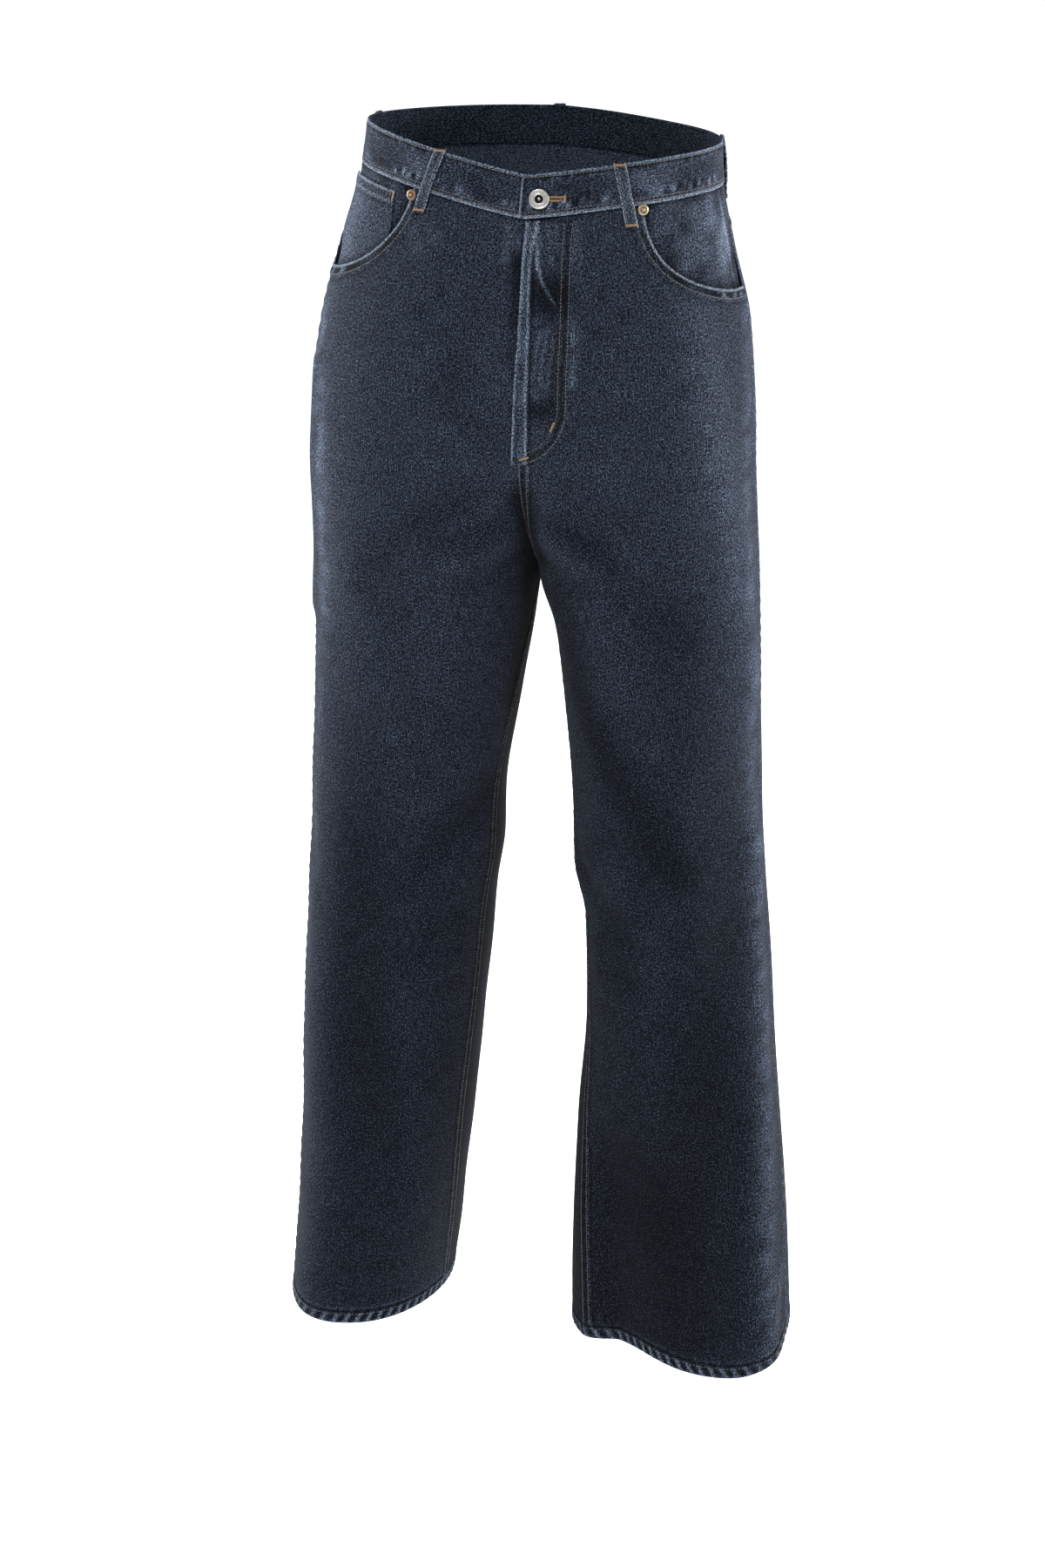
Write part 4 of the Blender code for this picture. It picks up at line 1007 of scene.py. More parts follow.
# The felled seam of the seat, on one side of the centre, with painted shade between its rows
def riseRelief(inner, z, amount):
    pucker = np.sin(2 * math.pi * (z / seamLook["puckerPitch"] + inner * 45))
    pucker = pucker * np.sin(2 * math.pi * z / 0.05)
    lift, wear = felled(inner, pucker, amount)
    lift = lift - 0.0005 * hump(inner, 0.0, 0.0009)
    wear = wear + amount * 0.3 * hump(inner, 0.0004, 0.0008)
    return lift, wear, amount * 0.4 * hump(inner, 0.0048, 0.0026)


# Carries a panel's edge just past the centre seam, so that no light comes through
def overCentre(side, place, inner, z):
    past = 0.0007 * hump(inner, 0.0, 0.0012) * smooth((z - forkZ) / 0.006)
    place[..., 0] -= signOf[side] * past
    return place


def backRelief(side, run, z):
    length = body[side].length("back", z)
    inner = length - run
    lift, wear, shade = riseRelief(inner, z, (side == "left") * smooth((z - forkZ) / 0.02))
    rise, worn, dark = openSeam(run, z)
    lift, wear, shade = lift + rise, wear + worn, shade + dark
    share = run / length
    w = yokeSeam(side, share) - z
    lift -= 0.0005 * hump(w, 0.0, 0.0012)
    lift += 0.0003 * np.sin(2 * math.pi * run / 0.0115) * np.exp(-w / 0.010)
    # painted shade along the yoke seam
    shade += 0.45 * hump(w, 0.0, 0.0012)
    rise, worn = aboveHem(run, z - hemEdge(side, "back", share) - hemHeight)
    lift, wear = lift + rise, wear + worn
    crest, trough = foldTone(side, run, z)
    # painted shade on the inside of the thigh next to the inseam, below the fork
    shade += 0.50 * (1 - smooth(inner / 0.075)) * smooth((-0.34 - z) / 0.06)
    seatWear = 0.14 * np.exp(-(((run - 0.12) / 0.07) ** 2)) * window(z, -0.36, -0.10, 0.10)
    return lift, wear + crest + seatWear, shade + trough


def backPanel(side):
    look = backLook
    shares = graded(0, 1, look["columns"], 0.80)
    up, down = look["upRows"], look["legRows"]

    def wrap(column, row):
        share = shares[column]
        top = yokeSeam(side, share) - gap
        end = hemEdge(side, "back", share) + hemHeight + gap
        z = np.where(row <= up, top + (hipZ - top) * row / up,
                     hipZ + (end - hipZ) * (row - up) / down)
        run = panelRun(side, "back", share, z)
        lift, wear, shade = backRelief(side, run, z)
        place, normal = onBody(side, run, z, lift)
        place = overCentre(side, place, body[side].length("back", z) - run, z)
        return place, normal, np.stack([run, z], -1), wear, shade

    piece = clothPiece(f"denim_back_{side}", look["columns"], up + down, wrap, denimPlain, clothThick)
    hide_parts(f"back_{side}")
    if side == "left":
        for offset in sewing["twin"]:
            z = np.arange(float(yokeSeam(side, 1.0)) - 0.002, forkZ - 0.004, -sewing["step"])
            run = body[side].length("back", z) - offset
            seam("seat", side, run, z, backRelief(side, run, z)[0])
    return piece


def yoke(side):
    look = yokeLook
    shares = graded(0, 1, look["columns"], 0.80)

    def relief(run, z):
        length = body[side].length("back", z)
        share = run / length
        b = z - yokeSeam(side, share)
        w = waistSeam(side, "back", share) - z
        lift, wear, shade = riseRelief(length - run, z, 1.0 * (side == "left"))
        pucker = np.sin(2 * math.pi * (run / seamLook["puckerPitch"] + b * 45))
        pucker = pucker * np.sin(2 * math.pi * run / 0.043)
        lift += 0.0007 * (1 - smooth((b - 0.0088) / 0.0016)) + 0.0003 * pucker * window(b, 0, 0.014, 0.003)
        lift -= 0.0004 * (hump(b, 0.0018, 0.0007) + hump(b, 0.0080, 0.0007)) + 0.0005 * hump(b, 0, 0.0008)
        wear += hump(b, 0.0096, 0.0010) * (0.4 + 0.3 * pucker) + 0.6 * hump(b, 0.0005, 0.0009)
        # painted shade between the rows and under the waistband
        shade += 0.4 * hump(b, 0.0048, 0.0026) + 0.5 * hump(w, 0.0, 0.0016)
        lift -= 0.0006 * hump(w, 0.0, 0.0014) + 0.0007 * hump(run, 0.0, 0.0009)
        wear += 0.3 * hump(run, 0.0018, 0.0012)
        return lift, wear, shade

    def wrap(column, row):
        share = shares[column]
        top, bottom = waistSeam(side, "back", share) + look["under"], yokeSeam(side, share)
        t = row / look["rows"]
        z = top + (bottom - top) * (t + 0.12 * np.sin(math.pi * t))
        run = panelRun(side, "back", share, z)
        lift, wear, shade = relief(run, z)
        place, normal = onBody(side, run, z, lift)
        place = overCentre(side, place, body[side].length("back", z) - run, z)
        return place, normal, np.stack([z, run], -1), wear, shade

    piece = clothPiece(f"denim_yoke_{side}", look["columns"], look["rows"], wrap, denimPlain, clothThick)
    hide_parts(f"yoke_{side}")
    highest, lowest = float(waistSeam(side, "back", 1.0)) - 0.003, float(yokeSeam(side, 1.0))
    for offset in sewing["twin"]:
        share = np.linspace(0.006, 0.994, 60)
        z = yokeSeam(side, share) + offset
        run = share * body[side].length("back", z)
        seam(f"yoke_{side}", side, run, z, relief(run, z)[0])
        if side == "left":
            z = np.arange(highest, lowest, -sewing["step"])
            run = body[side].length("back", z) - offset
            seam("seat_top", side, run, z, relief(run, z)[0])
    return piece


facingLook = {
    "underlap": 0.022, "depth": 0.0010, "columns": 60, "rows": 60, "patch": 0.024,
    "worn": {"right": 0.24, "left": 0.16},
}
coinLook = {
    "near": 0.012, "far": 0.086, "below": 0.0080, "hem": 0.010, "thick": 0.0013, "gap": 0.0007,
    "seams": (0.0016, 0.0088), "columns": 50, "rows": 44,
}


def facingDepth(side, share, z):
    layers = clothThick + 0.0002 + facingLook["depth"]
    if side == "right":
        layers += coinLook["thick"] + coinLook["gap"]
    return layers * (1 - smooth((z - scoopEdge(side, share) - 0.004) / 0.040))


def pocketFacing(side):
    look = facingLook
    edge = pocketShare(side) * 1.10

    def wrap(column, row):
        share = edge * column / look["columns"]
        top = waistSeam(side, "front", share) - gap
        bottom = scoopEdge(side, share) - look["underlap"]
        z = top + (bottom - top) * row / look["rows"]
        run = panelRun(side, "front", share, z)
        w = waistSeam(side, "front", share) - z
        lift = -facingDepth(side, share, z) - 0.0005 * hump(w, 0.0, 0.0014)
        lift += ripple(side, run, z, 12, 0.045, 0.0004) * smooth(w / 0.01)
        e, _ = nearPath(run, z, *scoopLines[side])
        above = smooth((z - scoopEdge(side, share)) / 0.002)
        wear = look["worn"][side] * (1 - 0.6 * hump(e, 0, 0.014))
        wear = wear + 0.40 * np.exp(-(((run + 0.024) / 0.020) ** 2)) * window(w, 0.004, 0.07, 0.02)
        patches = ripple(side, run, z, 21, look["patch"], 1.0)
        wear = wear + 0.14 * (patches + 0.3).clip(0)
        # painted shade along the scoop's edge, under the waistband and where the front covers the facing
        shade = 0.75 * hump(e, 0, 0.0050) * above + 0.60 * hump(w, 0, 0.004) + 0.4 * (1 - above)
        shade = shade + 0.30 * (-patches - 0.2).clip(0)
        if side == "left":
            # on the left, a paler ridge (wear and painted highlight) and painted shade in the hollow between
            # it and the side seam
            d = -run
            wear = wear + 0.45 * hump(d, 0.017, 0.0022)
            shade = shade + 0.5 * window(d, -0.001, 0.0125, 0.003)
            lift = lift + 0.0009 * hump(d, 0.017, 0.003)
        place, normal = onBody(side, run, z, lift)
        return place, normal, np.stack([run, z], -1), wear, shade

    piece = clothPiece(f"denim_facing_{side}", look["columns"], look["rows"], wrap, denimPlain, clothThick)
    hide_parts(f"pocket_facing_{side}")
    return piece


def coinPocket():
    look, side = coinLook, "right"
    length = float(body[side].length("front", float(waistSeam(side, "front", 0.2))))
    near, far = look["near"] / length, look["far"] / length

    def lie(share, down, reach):
        z = waistSeam(side, "front", share) - look["below"] - down
        return z, look["gap"] - facingDepth(side, share, z) + look["thick"] + reach

    def relief(down):
        rise = 0.0005 * (1 - smooth((down - look["hem"]) / 0.0015))
        for row in look["seams"]:
            rise = rise - 0.0003 * hump(down, row, 0.0006)
        return rise - 0.0004 * hump(down, 0, 0.0008)

    def wrap(column, row):
        share = near + (far - near) * column / look["columns"]
        top = waistSeam(side, "front", share) - look["below"]
        bottom = np.minimum(scoopEdge(side, share) - 0.006, top - look["hem"] - 0.006)
        t = (row / look["rows"]) ** 1.4
        down = (top - bottom) * t
        z, out = lie(share, down, relief(down))
        run = panelRun(side, "front", share, z)
        rope = np.sin(2 * math.pi * run / 0.0042)
        wear = 0.22 + 0.9 * hump(down, 0.0007, 0.0015) + 0.45 * hump(down, 0.0108, 0.0012)
        wear = wear + 0.25 * np.exp(-(((run + 0.030) / 0.020) ** 2))
        wear = wear + 0.2 * rope * window(down, 0.002, 0.0085)
        # painted shade between the rows, deeper between the ropes, and under the hem row
        shade = 0.55 * hump(down, 0.0126, 0.0018) + 0.45 * window(down, 0.002, 0.0085) * (0.6 - 0.4 * rope)
        e, _ = nearPath(run, z, *scoopLines[side])
        # painted shade along the scoop's edge
        shade = shade + 0.7 * hump(e, 0, 0.0050)
        place, normal = onBody(side, run, z, out)
        return place, normal, np.stack([run + 0.3, z], -1), wear, shade

    piece = clothPiece("denim_coin_pocket", look["columns"], look["rows"], wrap, denimPlain,
                       look["thick"] - 0.0002)
    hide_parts("coin_pocket")
    for down in look["seams"]:
        share = np.linspace(near, far, 30)
        z, out = lie(share, down, relief(np.full(30, down)))
        seam("coin", side, panelRun(side, "front", share, z), z, out)
    share = far - 0.004
    z, out = lie(share, 0.004, 0.0007)
    bartack("coin", side, float(panelRun(side, "front", share, z)), float(z), out, 0.008, 0.0018)
    return piece


flyLook = {
    "width": 0.0405, "border": 0.003, "pastTop": -0.0022, "pastBottom": 0.0055, "bottom": -0.268,
    "curve": 0.050, "edge": 0.008, "rise": 0.0025, "low": 0.0017, "columns": 64, "rows": 130,
    "rowInner": 0.0345, "rowOuter": 0.0412, "buttons": (-0.098, -0.150, -0.205),
}


# Places at x metres round from the front centre, positive to the wearer's left
def byCentre(x, z, out):
    x, z, out = np.broadcast_arrays(x, z, out)
    place, normal = np.zeros((*x.shape, 3)), np.zeros((*x.shape, 3))
    for side in body:
        mine = (x >= 0) == (side == "left")
        if not mine.any():
            continue
        run = np.abs(x[mine]) - body[side].length("front", z[mine])
        p, n = onBody(side, run, z[mine], 0.0)
        n[:, 0] *= np.clip(np.abs(x[mine]) / 0.02, 0, 1)
        n /= np.linalg.norm(n, axis=1, keepdims=True)
        place[mine], normal[mine] = p + n * out[mine][:, None], n
    return place, normal


def flyWidth(z, width):
    look = flyLook
    below = look["bottom"] + look["curve"] - z - (width - look["width"]) * 0.4
    share = np.clip(below / look["curve"], 0, 0.985)
    return width * np.sqrt(1 - share * share)


# The inner side of the strip at the fly's edge, which is wider at the top
def flyEdge(z):
    return flyLook["edge"] + 0.0045 * smooth((z + 0.105) / 0.045)


def flyRelief(x, z, reach):
    look = flyLook
    edge = flyEdge(z)
    out = look["low"] + (look["rise"] - look["low"]) * (1 - smooth((x - edge) / 0.0018))
    out -= 0.0005 * smooth((x - edge) / 0.02)
    out += 0.0004 * np.sin(2 * math.pi * z / 0.033 + 0.6) * hump(x, 0.02, 0.012)
    for height in look["buttons"]:
        away = np.hypot(x - 0.0185, z - height)
        out += 0.0010 * np.exp(-((away / 0.0075) ** 4))
    for row in (look["rowInner"], look["rowOuter"]):
        out -= 0.0003 * hump(reach, row, 0.0008)
    out = out * (1 - smooth((reach - look["rowOuter"] - 0.0004) / 0.0020)) - 0.0005 * smooth(
        (reach - look["rowOuter"] - 0.0006) / 0.0016)
    return out


def flyPlacket():
    look = flyLook
    full = look["width"] + look["border"]

    def wrap(column, row):
        top = float(waistSeam("left", "front", 1.0)) - 0.0012
        straight = look["bottom"] + look["curve"]
        t = row / look["rows"]
        z = np.where(t < 0.7, top + (straight - top) * t / 0.7,
                     straight - (look["curve"] + look["border"]) * np.sin(math.pi / 2 * (t - 0.7) / 0.3))
        past = look["pastTop"] + (look["pastBottom"] - look["pastTop"]) * (top - z) / (top - look["bottom"])
        wide = flyWidth(z, full)
        c = column / look["columns"]
        x = -past + (wide + past) * c
        # how far out a place lies, as if the fly were straight all the way down
        low = np.clip((straight - z) / (look["curve"] + look["border"]), 0, 1)
        reach = np.where(z > straight, x, full * np.clip(np.hypot(x / full, low), 0, 1.02))
        out = flyRelief(x, z, reach)
        out = out - 0.0007 * hump(x, -past, 0.0010)
        edge = flyEdge(z)
        strip = window(x, 0, edge)
        wear = 1.0 * hump(x, -past + 0.0007, 0.0017) + 0.85 * hump(x, edge - 0.0004, 0.0015)
        wear = wear + strip * (0.26 + 0.14 * np.sin(z * 140))
        for height in look["buttons"]:
            away = np.hypot(x - 0.0195, z - height)
            turn = np.arctan2(z - height, x - 0.0195)
            uneven = 0.55 + 0.45 * np.sin(2 * turn + height * 60)
            wear = wear + 0.30 * uneven * hump(away, 0.0070, 0.0026)
        # worn streaks down it, between hollows darkened with painted shade where the crotch pulls it in
        streaks = 0.55 + 0.45 * np.sin(2 * math.pi * (x / 0.0066 + 0.25 * np.sin(z * 90)))
        for top, low, amount in ((-0.060, -0.092, 0.34), (-0.152, -0.206, 0.42), (-0.232, -0.246, 0.20)):
            wear = wear + amount * streaks * window(z, low, top, 0.012) * window(x, 0.0095, 0.034, 0.006)
        # painted shade beside the edge strip and in the hollows
        shade = 0.55 * hump(x, edge + 0.0024, 0.0016)
        for x0, z0, wide, high, amount in ((0.025, -0.125, 0.021, 0.017, 0.95),
                                           (0.020, -0.222, 0.017, 0.010, 0.55),
                                           (0.030, -0.190, 0.006, 0.040, 0.35)):
            shade = shade + amount * (1 - strip) * np.exp(-(((x - x0) / wide) ** 2 + ((z - z0) / high) ** 2))
        near, _ = nearPath(x, z, (0.0125, 0.0135, 0.019, 0.029), (-0.062, -0.096, -0.115, -0.131))
        wear = wear + 1.1 * hump(near, 0.0, 0.0016)
        out = out + 0.0010 * hump(near, 0.0, 0.0022)
        for place0 in (look["rowInner"], look["rowOuter"]):
            wear = wear + 0.20 * hump(reach, place0 + 0.0016, 0.0012)
        # painted shade between the rows
        shade = shade + 0.40 * hump(reach, 0.0378, 0.0024)
        place, normal = byCentre(x, z, out)
        run = x - body["left"].length("front", z)
        return place, normal, np.stack([run, z], -1), wear, shade

    piece = clothPiece("denim_fly", look["columns"], look["rows"], wrap, denimPlain, 0.0010)
    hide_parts("fly_placket")

    top = float(waistSeam("left", "front", 1.0)) - 0.003
    straight = look["bottom"] + look["curve"]
    for reach in (look["rowInner"], look["rowOuter"]):
        line = np.arange(top, straight, -0.004)
        turn = np.linspace(0, math.pi / 2 * 0.93, 24)
        drop = (look["curve"] + look["border"]) * reach / full
        x = np.concatenate([np.full(len(line), reach), reach * np.cos(turn)])
        z = np.concatenate([line, straight - drop * np.sin(turn)])
        low = np.clip((straight - z) / (look["curve"] + look["border"]), 0, 1)
        far = np.where(z > straight, x, full * np.hypot(x / full, low))
        sewAlong("fly", *byCentre(x, z, flyRelief(x, z, far) + sewing["proud"]))
    # bars of thread at the foot of the fly and on its curve
    for x0, z0, turn in ((0.006, -0.2635, 0.25), (0.030, -0.236, 1.2)):
        t = np.linspace(-0.5, 0.5, 12)
        x, z = x0 + 0.008 * t * math.cos(turn), z0 + 0.008 * t * math.sin(turn)
        bar("fly", *byCentre(x, z, 0.0026 if x0 < 0.01 else 0.0016), 0.0020)
    return piece


pocketLook = {
    "width": 0.150, "taper": 0.014, "side": 0.150, "point": 0.024, "below": 0.030, "middle": 0.52,
    "hem": 0.022, "rise": 0.0021, "columns": 64, "rows": 78,
}


def backPocket(side):
    look = pocketLook
    topZ = float(yokeSeam(side, look["middle"])) - look["below"]

    # Runs and heights of places across (-0.5 to 0.5) and down the pocket
    def lie(across, down):
        width = look["width"] - 2 * look["taper"] * down / look["side"]
        point = look["point"] * (1 - np.abs(2 * across)) * (down / look["side"]) ** 3
        z = topZ - down - point - across * look["width"] * 0.10
        return look["middle"] * body[side].length("back", z) + across * width, z, width

    def relief(across, down, width):
        aside = (0.5 - np.abs(across)) * width
        below = (look["side"] - down) * 0.97
        edge = np.minimum(aside, below)
        out = look["rise"] + 0.0006 * (1 - smooth((down - look["hem"]) / 0.0016))
        out = out - 0.0005 * hump(edge, 0, 0.0008) - 0.0004 * hump(down, 0, 0.0008)
        for row in sewing["twin"]:
            out = out - 0.0003 * hump(edge, row, 0.0007)
        rope = np.sin(2 * math.pi * (down / 0.0095 + across * 14))
        out = out + 0.00025 * rope * window(edge, 0.001, 0.010, 0.002)
        out = out + 0.0005 * np.sin(7 * across + 40 * down) * smooth(edge / 0.02)
        wear = 0.75 * hump(edge, 0.0003, 0.0011) + 0.6 * hump(down, 0.0003, 0.0012)
        wear = wear + (0.30 + 0.2 * rope) * hump(edge, 0.0096, 0.0012) + 0.10
        wear = wear + 0.3 * hump(down, look["hem"] + 0.001, 0.0012)
        # painted shade between the rows and under the hem
        shade = 0.30 * hump(edge, 0.0048, 0.0024) + 0.3 * hump(down, look["hem"] + 0.003, 0.0016)
        return out, wear, shade

    across = graded(-0.5, 0.5, look["columns"], 0.70)
    downs = look["side"] * graded(0, 1, look["rows"], 0.55)

    def wrap(column, row):
        a, down = across[column], downs[row]
        run, z, width = lie(a, down)
        out, wear, shade = relief(a, down, width)
        place, normal = onBody(side, run, z, out)
        return place, normal, np.stack([run + 0.7, z], -1), wear, shade

    piece = clothPiece(f"denim_back_pocket_{side}", look["columns"], look["rows"], wrap, denimPlain,
                       clothThick)
    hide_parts(f"back_pocket_{side}")

    def sew(a, down):
        run, z, width = lie(a, down)
        seam(f"back_pocket_{side}", side, run, z, relief(a, down, width)[0])

    for offset in sewing["twin"]:
        d = np.linspace(0.001, look["side"] - offset / 0.97, 60)
        width = look["width"] - 2 * look["taper"] * d / look["side"]
        for sign in (-1, 1):
            sew(sign * (0.5 - offset / width), d)
        limit = 0.5 - offset / width[-1]
        sew(np.linspace(-limit, limit, 60), np.repeat(d[-1:], 60))
    sew(np.linspace(-0.49, 0.49, 60), np.full(60, look["hem"] - 0.002))
    for sign in (-1, 1):
        run, z, _ = lie(sign * 0.475, 0.005)
        bartack(f"back_pocket_{side}", side, float(run), float(z), 0.0030, 0.009, 0.0020)
    return piece


bandLook = {
    "columns": 100, "backColumns": 110, "rows": 30, "seams": (0.0028, 0.0338, 0.0312), "long": 0.83,
}


# Columns of the band: side, panel and share, from its under end round to its lap
def bandStops():
    edge = pocketShare("left")
    under = edge + (1 - edge) * 0.75
    front, back = bandLook["columns"], bandLook["backColumns"]
    parts = [("left", "front", np.linspace(under, 1, 16)[:-1])]
    parts += [("right", "front", np.linspace(1, 0, front + 1)[:-1])]
    parts += [("right", "back", np.linspace(0, 1, back + 1)[:-1])]
    parts += [("left", "back", np.linspace(1, 0, back + 1)[:-1])]
    parts += [("left", "front", np.linspace(0, 1, front + 1))]
    over = 1 - bandLapOver / float(body["right"].length("front", 0.0))
    parts += [("right", "front", np.linspace(1, over, 4)[1:])]
    sides, panels, shares, part = [], [], [], []
    for k, (side, panel, share) in enumerate(parts):
        sides += [side] * len(share)
        panels += [panel] * len(share)
        shares += list(share)
        part += [k] * len(share)
    return np.array(sides), np.array(panels), np.array(shares), np.array(part)


bandSides, bandPanels, bandShares, bandParts = bandStops()


# How far the buttoned end stands off, over the under end
def bandLift(share, part):
    length = float(body["left"].length("front", 0.0))
    edge = pocketShare("left")
    underEnd = (1 - edge) * 0.25 * length
    fromCentre = (1 - share) * length
    full = bandThick + gap
    climb = full * smooth((underEnd + bandLapRise + 0.004 - fromCentre) / bandLapRise)
    return np.where(part == 4, climb, np.where(part == 5, full, 0.0))


def bandRelief(far, down, fromEnd):
    lift = -0.0009 * hump(down, 0, 0.0011) - 0.0009 * hump(bandHeight - down, 0, 0.0011)
    pucker = 0.50 * np.sin(2 * math.pi * (far / 0.0147 + down * 31) + 3 * np.sin(far * 38))
    pucker = pucker + 0.50 * np.sin(2 * math.pi * (far / 0.0093 - down * 43) + 3.5 * np.sin(far * 47))
    pucker = pucker * (0.55 + 0.45 * np.sin(2 * math.pi * far / 0.113 + 1.3))
    pucker = pucker + 0.30 * np.sin(2 * math.pi * far / 0.041 + 2 * np.sin(far * 23))
    low = window(down, 0.0205, 0.0335, 0.006)
    high = window(down, 0.0015, 0.0085, 0.003)
    lift = lift + 0.0007 * pucker * (low + 0.6 * high)
    lift = lift + 0.0003 * np.sin(far * 47 + 1) * np.sin(math.pi * down / bandHeight)
    wear = 1.0 * hump(down, 0.0006, 0.0016) + 1.2 * hump(down, bandHeight - 0.0008, 0.0016)
    middle = window(down, 0.006, 0.030, 0.006)
    wear = wear + 1.1 * (pucker * low).clip(0) + 0.6 * (pucker * high).clip(0) + 0.04
    wear = wear + 0.40 * middle * (np.sin(far * 83 + down * 60) * np.sin(far * 29 + 2)).clip(0)
    # painted shade in the pucker troughs and below the top row, and dark mottles across the middle
    shade = 1.1 * (-pucker * low).clip(0) + 0.6 * (-pucker * high).clip(0)
    shade = shade + 0.7 * hump(down, 0.0038, 0.0011) + 0.35 * middle * (-np.sin(far * 61 + 1)).clip(0)
    for row in bandLook["seams"]:
        lift = lift - 0.0003 * hump(down, row, 0.0006)
    wear = wear + 1.4 * hump(fromEnd, 0.0008, 0.0015)
    # painted shade just in from the band's end, beside its paler edge
    shade = shade + 0.9 * hump(fromEnd, 0.0042, 0.0012)
    lift = lift - 0.0008 * hump(fromEnd, 0, 0.0010)
    return lift, wear, shade


# Places on the waistband at column numbers (fractions allowed) and depths
def bandPlace(index, down, extra=0.0):
    index, down = np.broadcast_arrays(np.asarray(index, float), np.asarray(down, float))
    whole = np.clip(np.floor(index + 1e-9).astype(int), 0, len(bandShares) - 1)
    follow = np.clip(whole + 1, 0, len(bandShares) - 1)
    t = index - whole
    place, normal = np.zeros((*index.shape, 3)), np.zeros((*index.shape, 3))
    column = bandLook["long"] / len(bandShares)
    far, fromEnd = index * column, (len(bandShares) - 1 - index) * column
    lift, wear, shade = bandRelief(far, down, fromEnd)
    for weight, at in ((1 - t, whole), (t, follow)):
        for side in body:
            for panel in ("front", "back"):
                mine = (bandSides[at] == side) & (bandPanels[at] == panel) & (weight > 1e-9)
                if not mine.any():
                    continue
                share, part = bandShares[at][mine], bandParts[at][mine]
                z = bandEdge(side, panel, share) - down[mine]
                run = panelRun(side, panel, share, z)
                out = bandProud + bandLift(share, part) + lift[mine] + extra
                p, n = onBody(side, run, z, out)
                place[mine] += weight[mine][:, None] * p
                normal[mine] += weight[mine][:, None] * n
    return place, normal / np.linalg.norm(normal, axis=-1, keepdims=True), far, wear, shade


def waistband():
    look = bandLook
    rows = look["rows"]
    downs = bandHeight * graded(0, 1, rows, 0.45)

    def wrap(column, row):
        place, normal, far, wear, shade = bandPlace(column, downs[row])
        return place, normal, np.stack([far, -downs[row]], -1), wear, shade

    piece = clothPiece("denim_waistband", len(bandShares) - 1, rows, wrap, denimCross, bandThick - 0.0002,
                       inside=denimUnder)
    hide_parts("waistband")
    last = len(bandShares) - 1
    index = np.linspace(8, last - 0.6, 900)
    for down in look["seams"]:
        sewAlong("band", *bandPlace(index, np.full(900, down), sewing["proud"])[:2])
    downs = np.linspace(*look["seams"][:2], 20)
    sewAlong("band", *bandPlace(np.full(20, last - 0.9), downs, sewing["proud"])[:2])
    return piece


hemLook = {"columns": 360, "proud": 0.0005, "thick": 0.0026, "row": 0.0026, "pitch": 0.0036}


def hem(side):
    look = hemLook
    half = look["thick"] / 2
    outerRows, bendRows, innerRows = 14, 8, 8
    straight = hemHeight - half
    profile = [(look["proud"], straight * k / outerRows) for k in range(outerRows + 1)]
    for k in range(1, bendRows):
        turn = math.pi * k / bendRows
        profile.append((look["proud"] - half + half * math.cos(turn), straight + half * math.sin(turn)))
    profile += [(look["proud"] - 2 * half, straight * (1 - k / innerRows)) for k in range(innerRows + 1)]
    profile.append(profile[0])
    profile = np.array(profile)
    count = look["columns"]

    def runAt(column, z):
        t = column / count
        share = np.where(t < 0.5, 1 - 2 * t, 2 * t - 1)
        front, back = panelRun(side, "front", share, z), panelRun(side, "back", share, z)
        return np.where(t < 0.5, front, back), share, t < 0.5

    def relief(run, down, outside):
        rope = np.sin(2 * math.pi * (run / 0.0105 - down / 0.024) + np.sin(run * 37))
        rope = rope * (0.8 + 0.2 * np.sin(run * 31))
        lift = 0.00045 * rope * window(down, 0.0, 0.013, 0.003) - 0.0006 * hump(down, 0, 0.0009)
        lift = lift - 0.0003 * hump(down, look["row"], 0.0007)
        wear = 0.05 + 1.1 * rope.clip(0) * smooth(down / 0.003) + 0.70 * hump(down, 0.0115, 0.0018)
        # darker overall, with painted shade in the rope troughs
        shade = 0.25 + 0.75 * (-rope).clip(0) * smooth(down / 0.002)
        return lift * outside, wear, shade

    def wrap(column, row):
        out, down = profile[row, 0], profile[row, 1]
        z = hemEdge(side, "front", np.full(len(row), 0.5))
        run, share, isFront = runAt(column, z)
        edge = np.where(isFront, hemEdge(side, "front", share), hemEdge(side, "back", share))
        z = edge + hemHeight - down
        run, share, isFront = runAt(column, z)
        outside = (row <= outerRows + bendRows // 2) * 1.0
        lift, wear, shade = relief(run, down, outside)
        place, normal = onBody(side, run, z, out + lift)
        # where the ring meets itself its ends share a place
        ends = (column == 0) | (column == count)
        if ends.any():
            inseam = -body[side].length("front", z[ends])
            p, n = onBody(side, inseam, z[ends], (out + lift)[ends])
            place[ends], normal[ends] = p, n
        facing = np.where(row <= outerRows + bendRows // 2, 1.0, -1.0)[:, None]
        return place, normal * facing, np.stack([z, run], -1), wear, shade

    piece = clothPiece(f"denim_hem_{side}", count, len(profile) - 1, wrap, denimPlain, 0, closed=True)
    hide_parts(f"hem_{side}")
    t = np.arange(2, count - 1)
    z = np.full(len(t), -1.10)
    run, share, isFront = runAt(t, z)
    edge = np.where(isFront, hemEdge(side, "front", share), hemEdge(side, "back", share))
    z = edge + hemHeight - look["row"]
    run = runAt(t, z)[0]
    lift = relief(run, np.full(len(t), look["row"]), 1.0)[0]
    seam(f"hem_{side}", side, run, z, look["proud"] + lift, look["pitch"])
    return piece


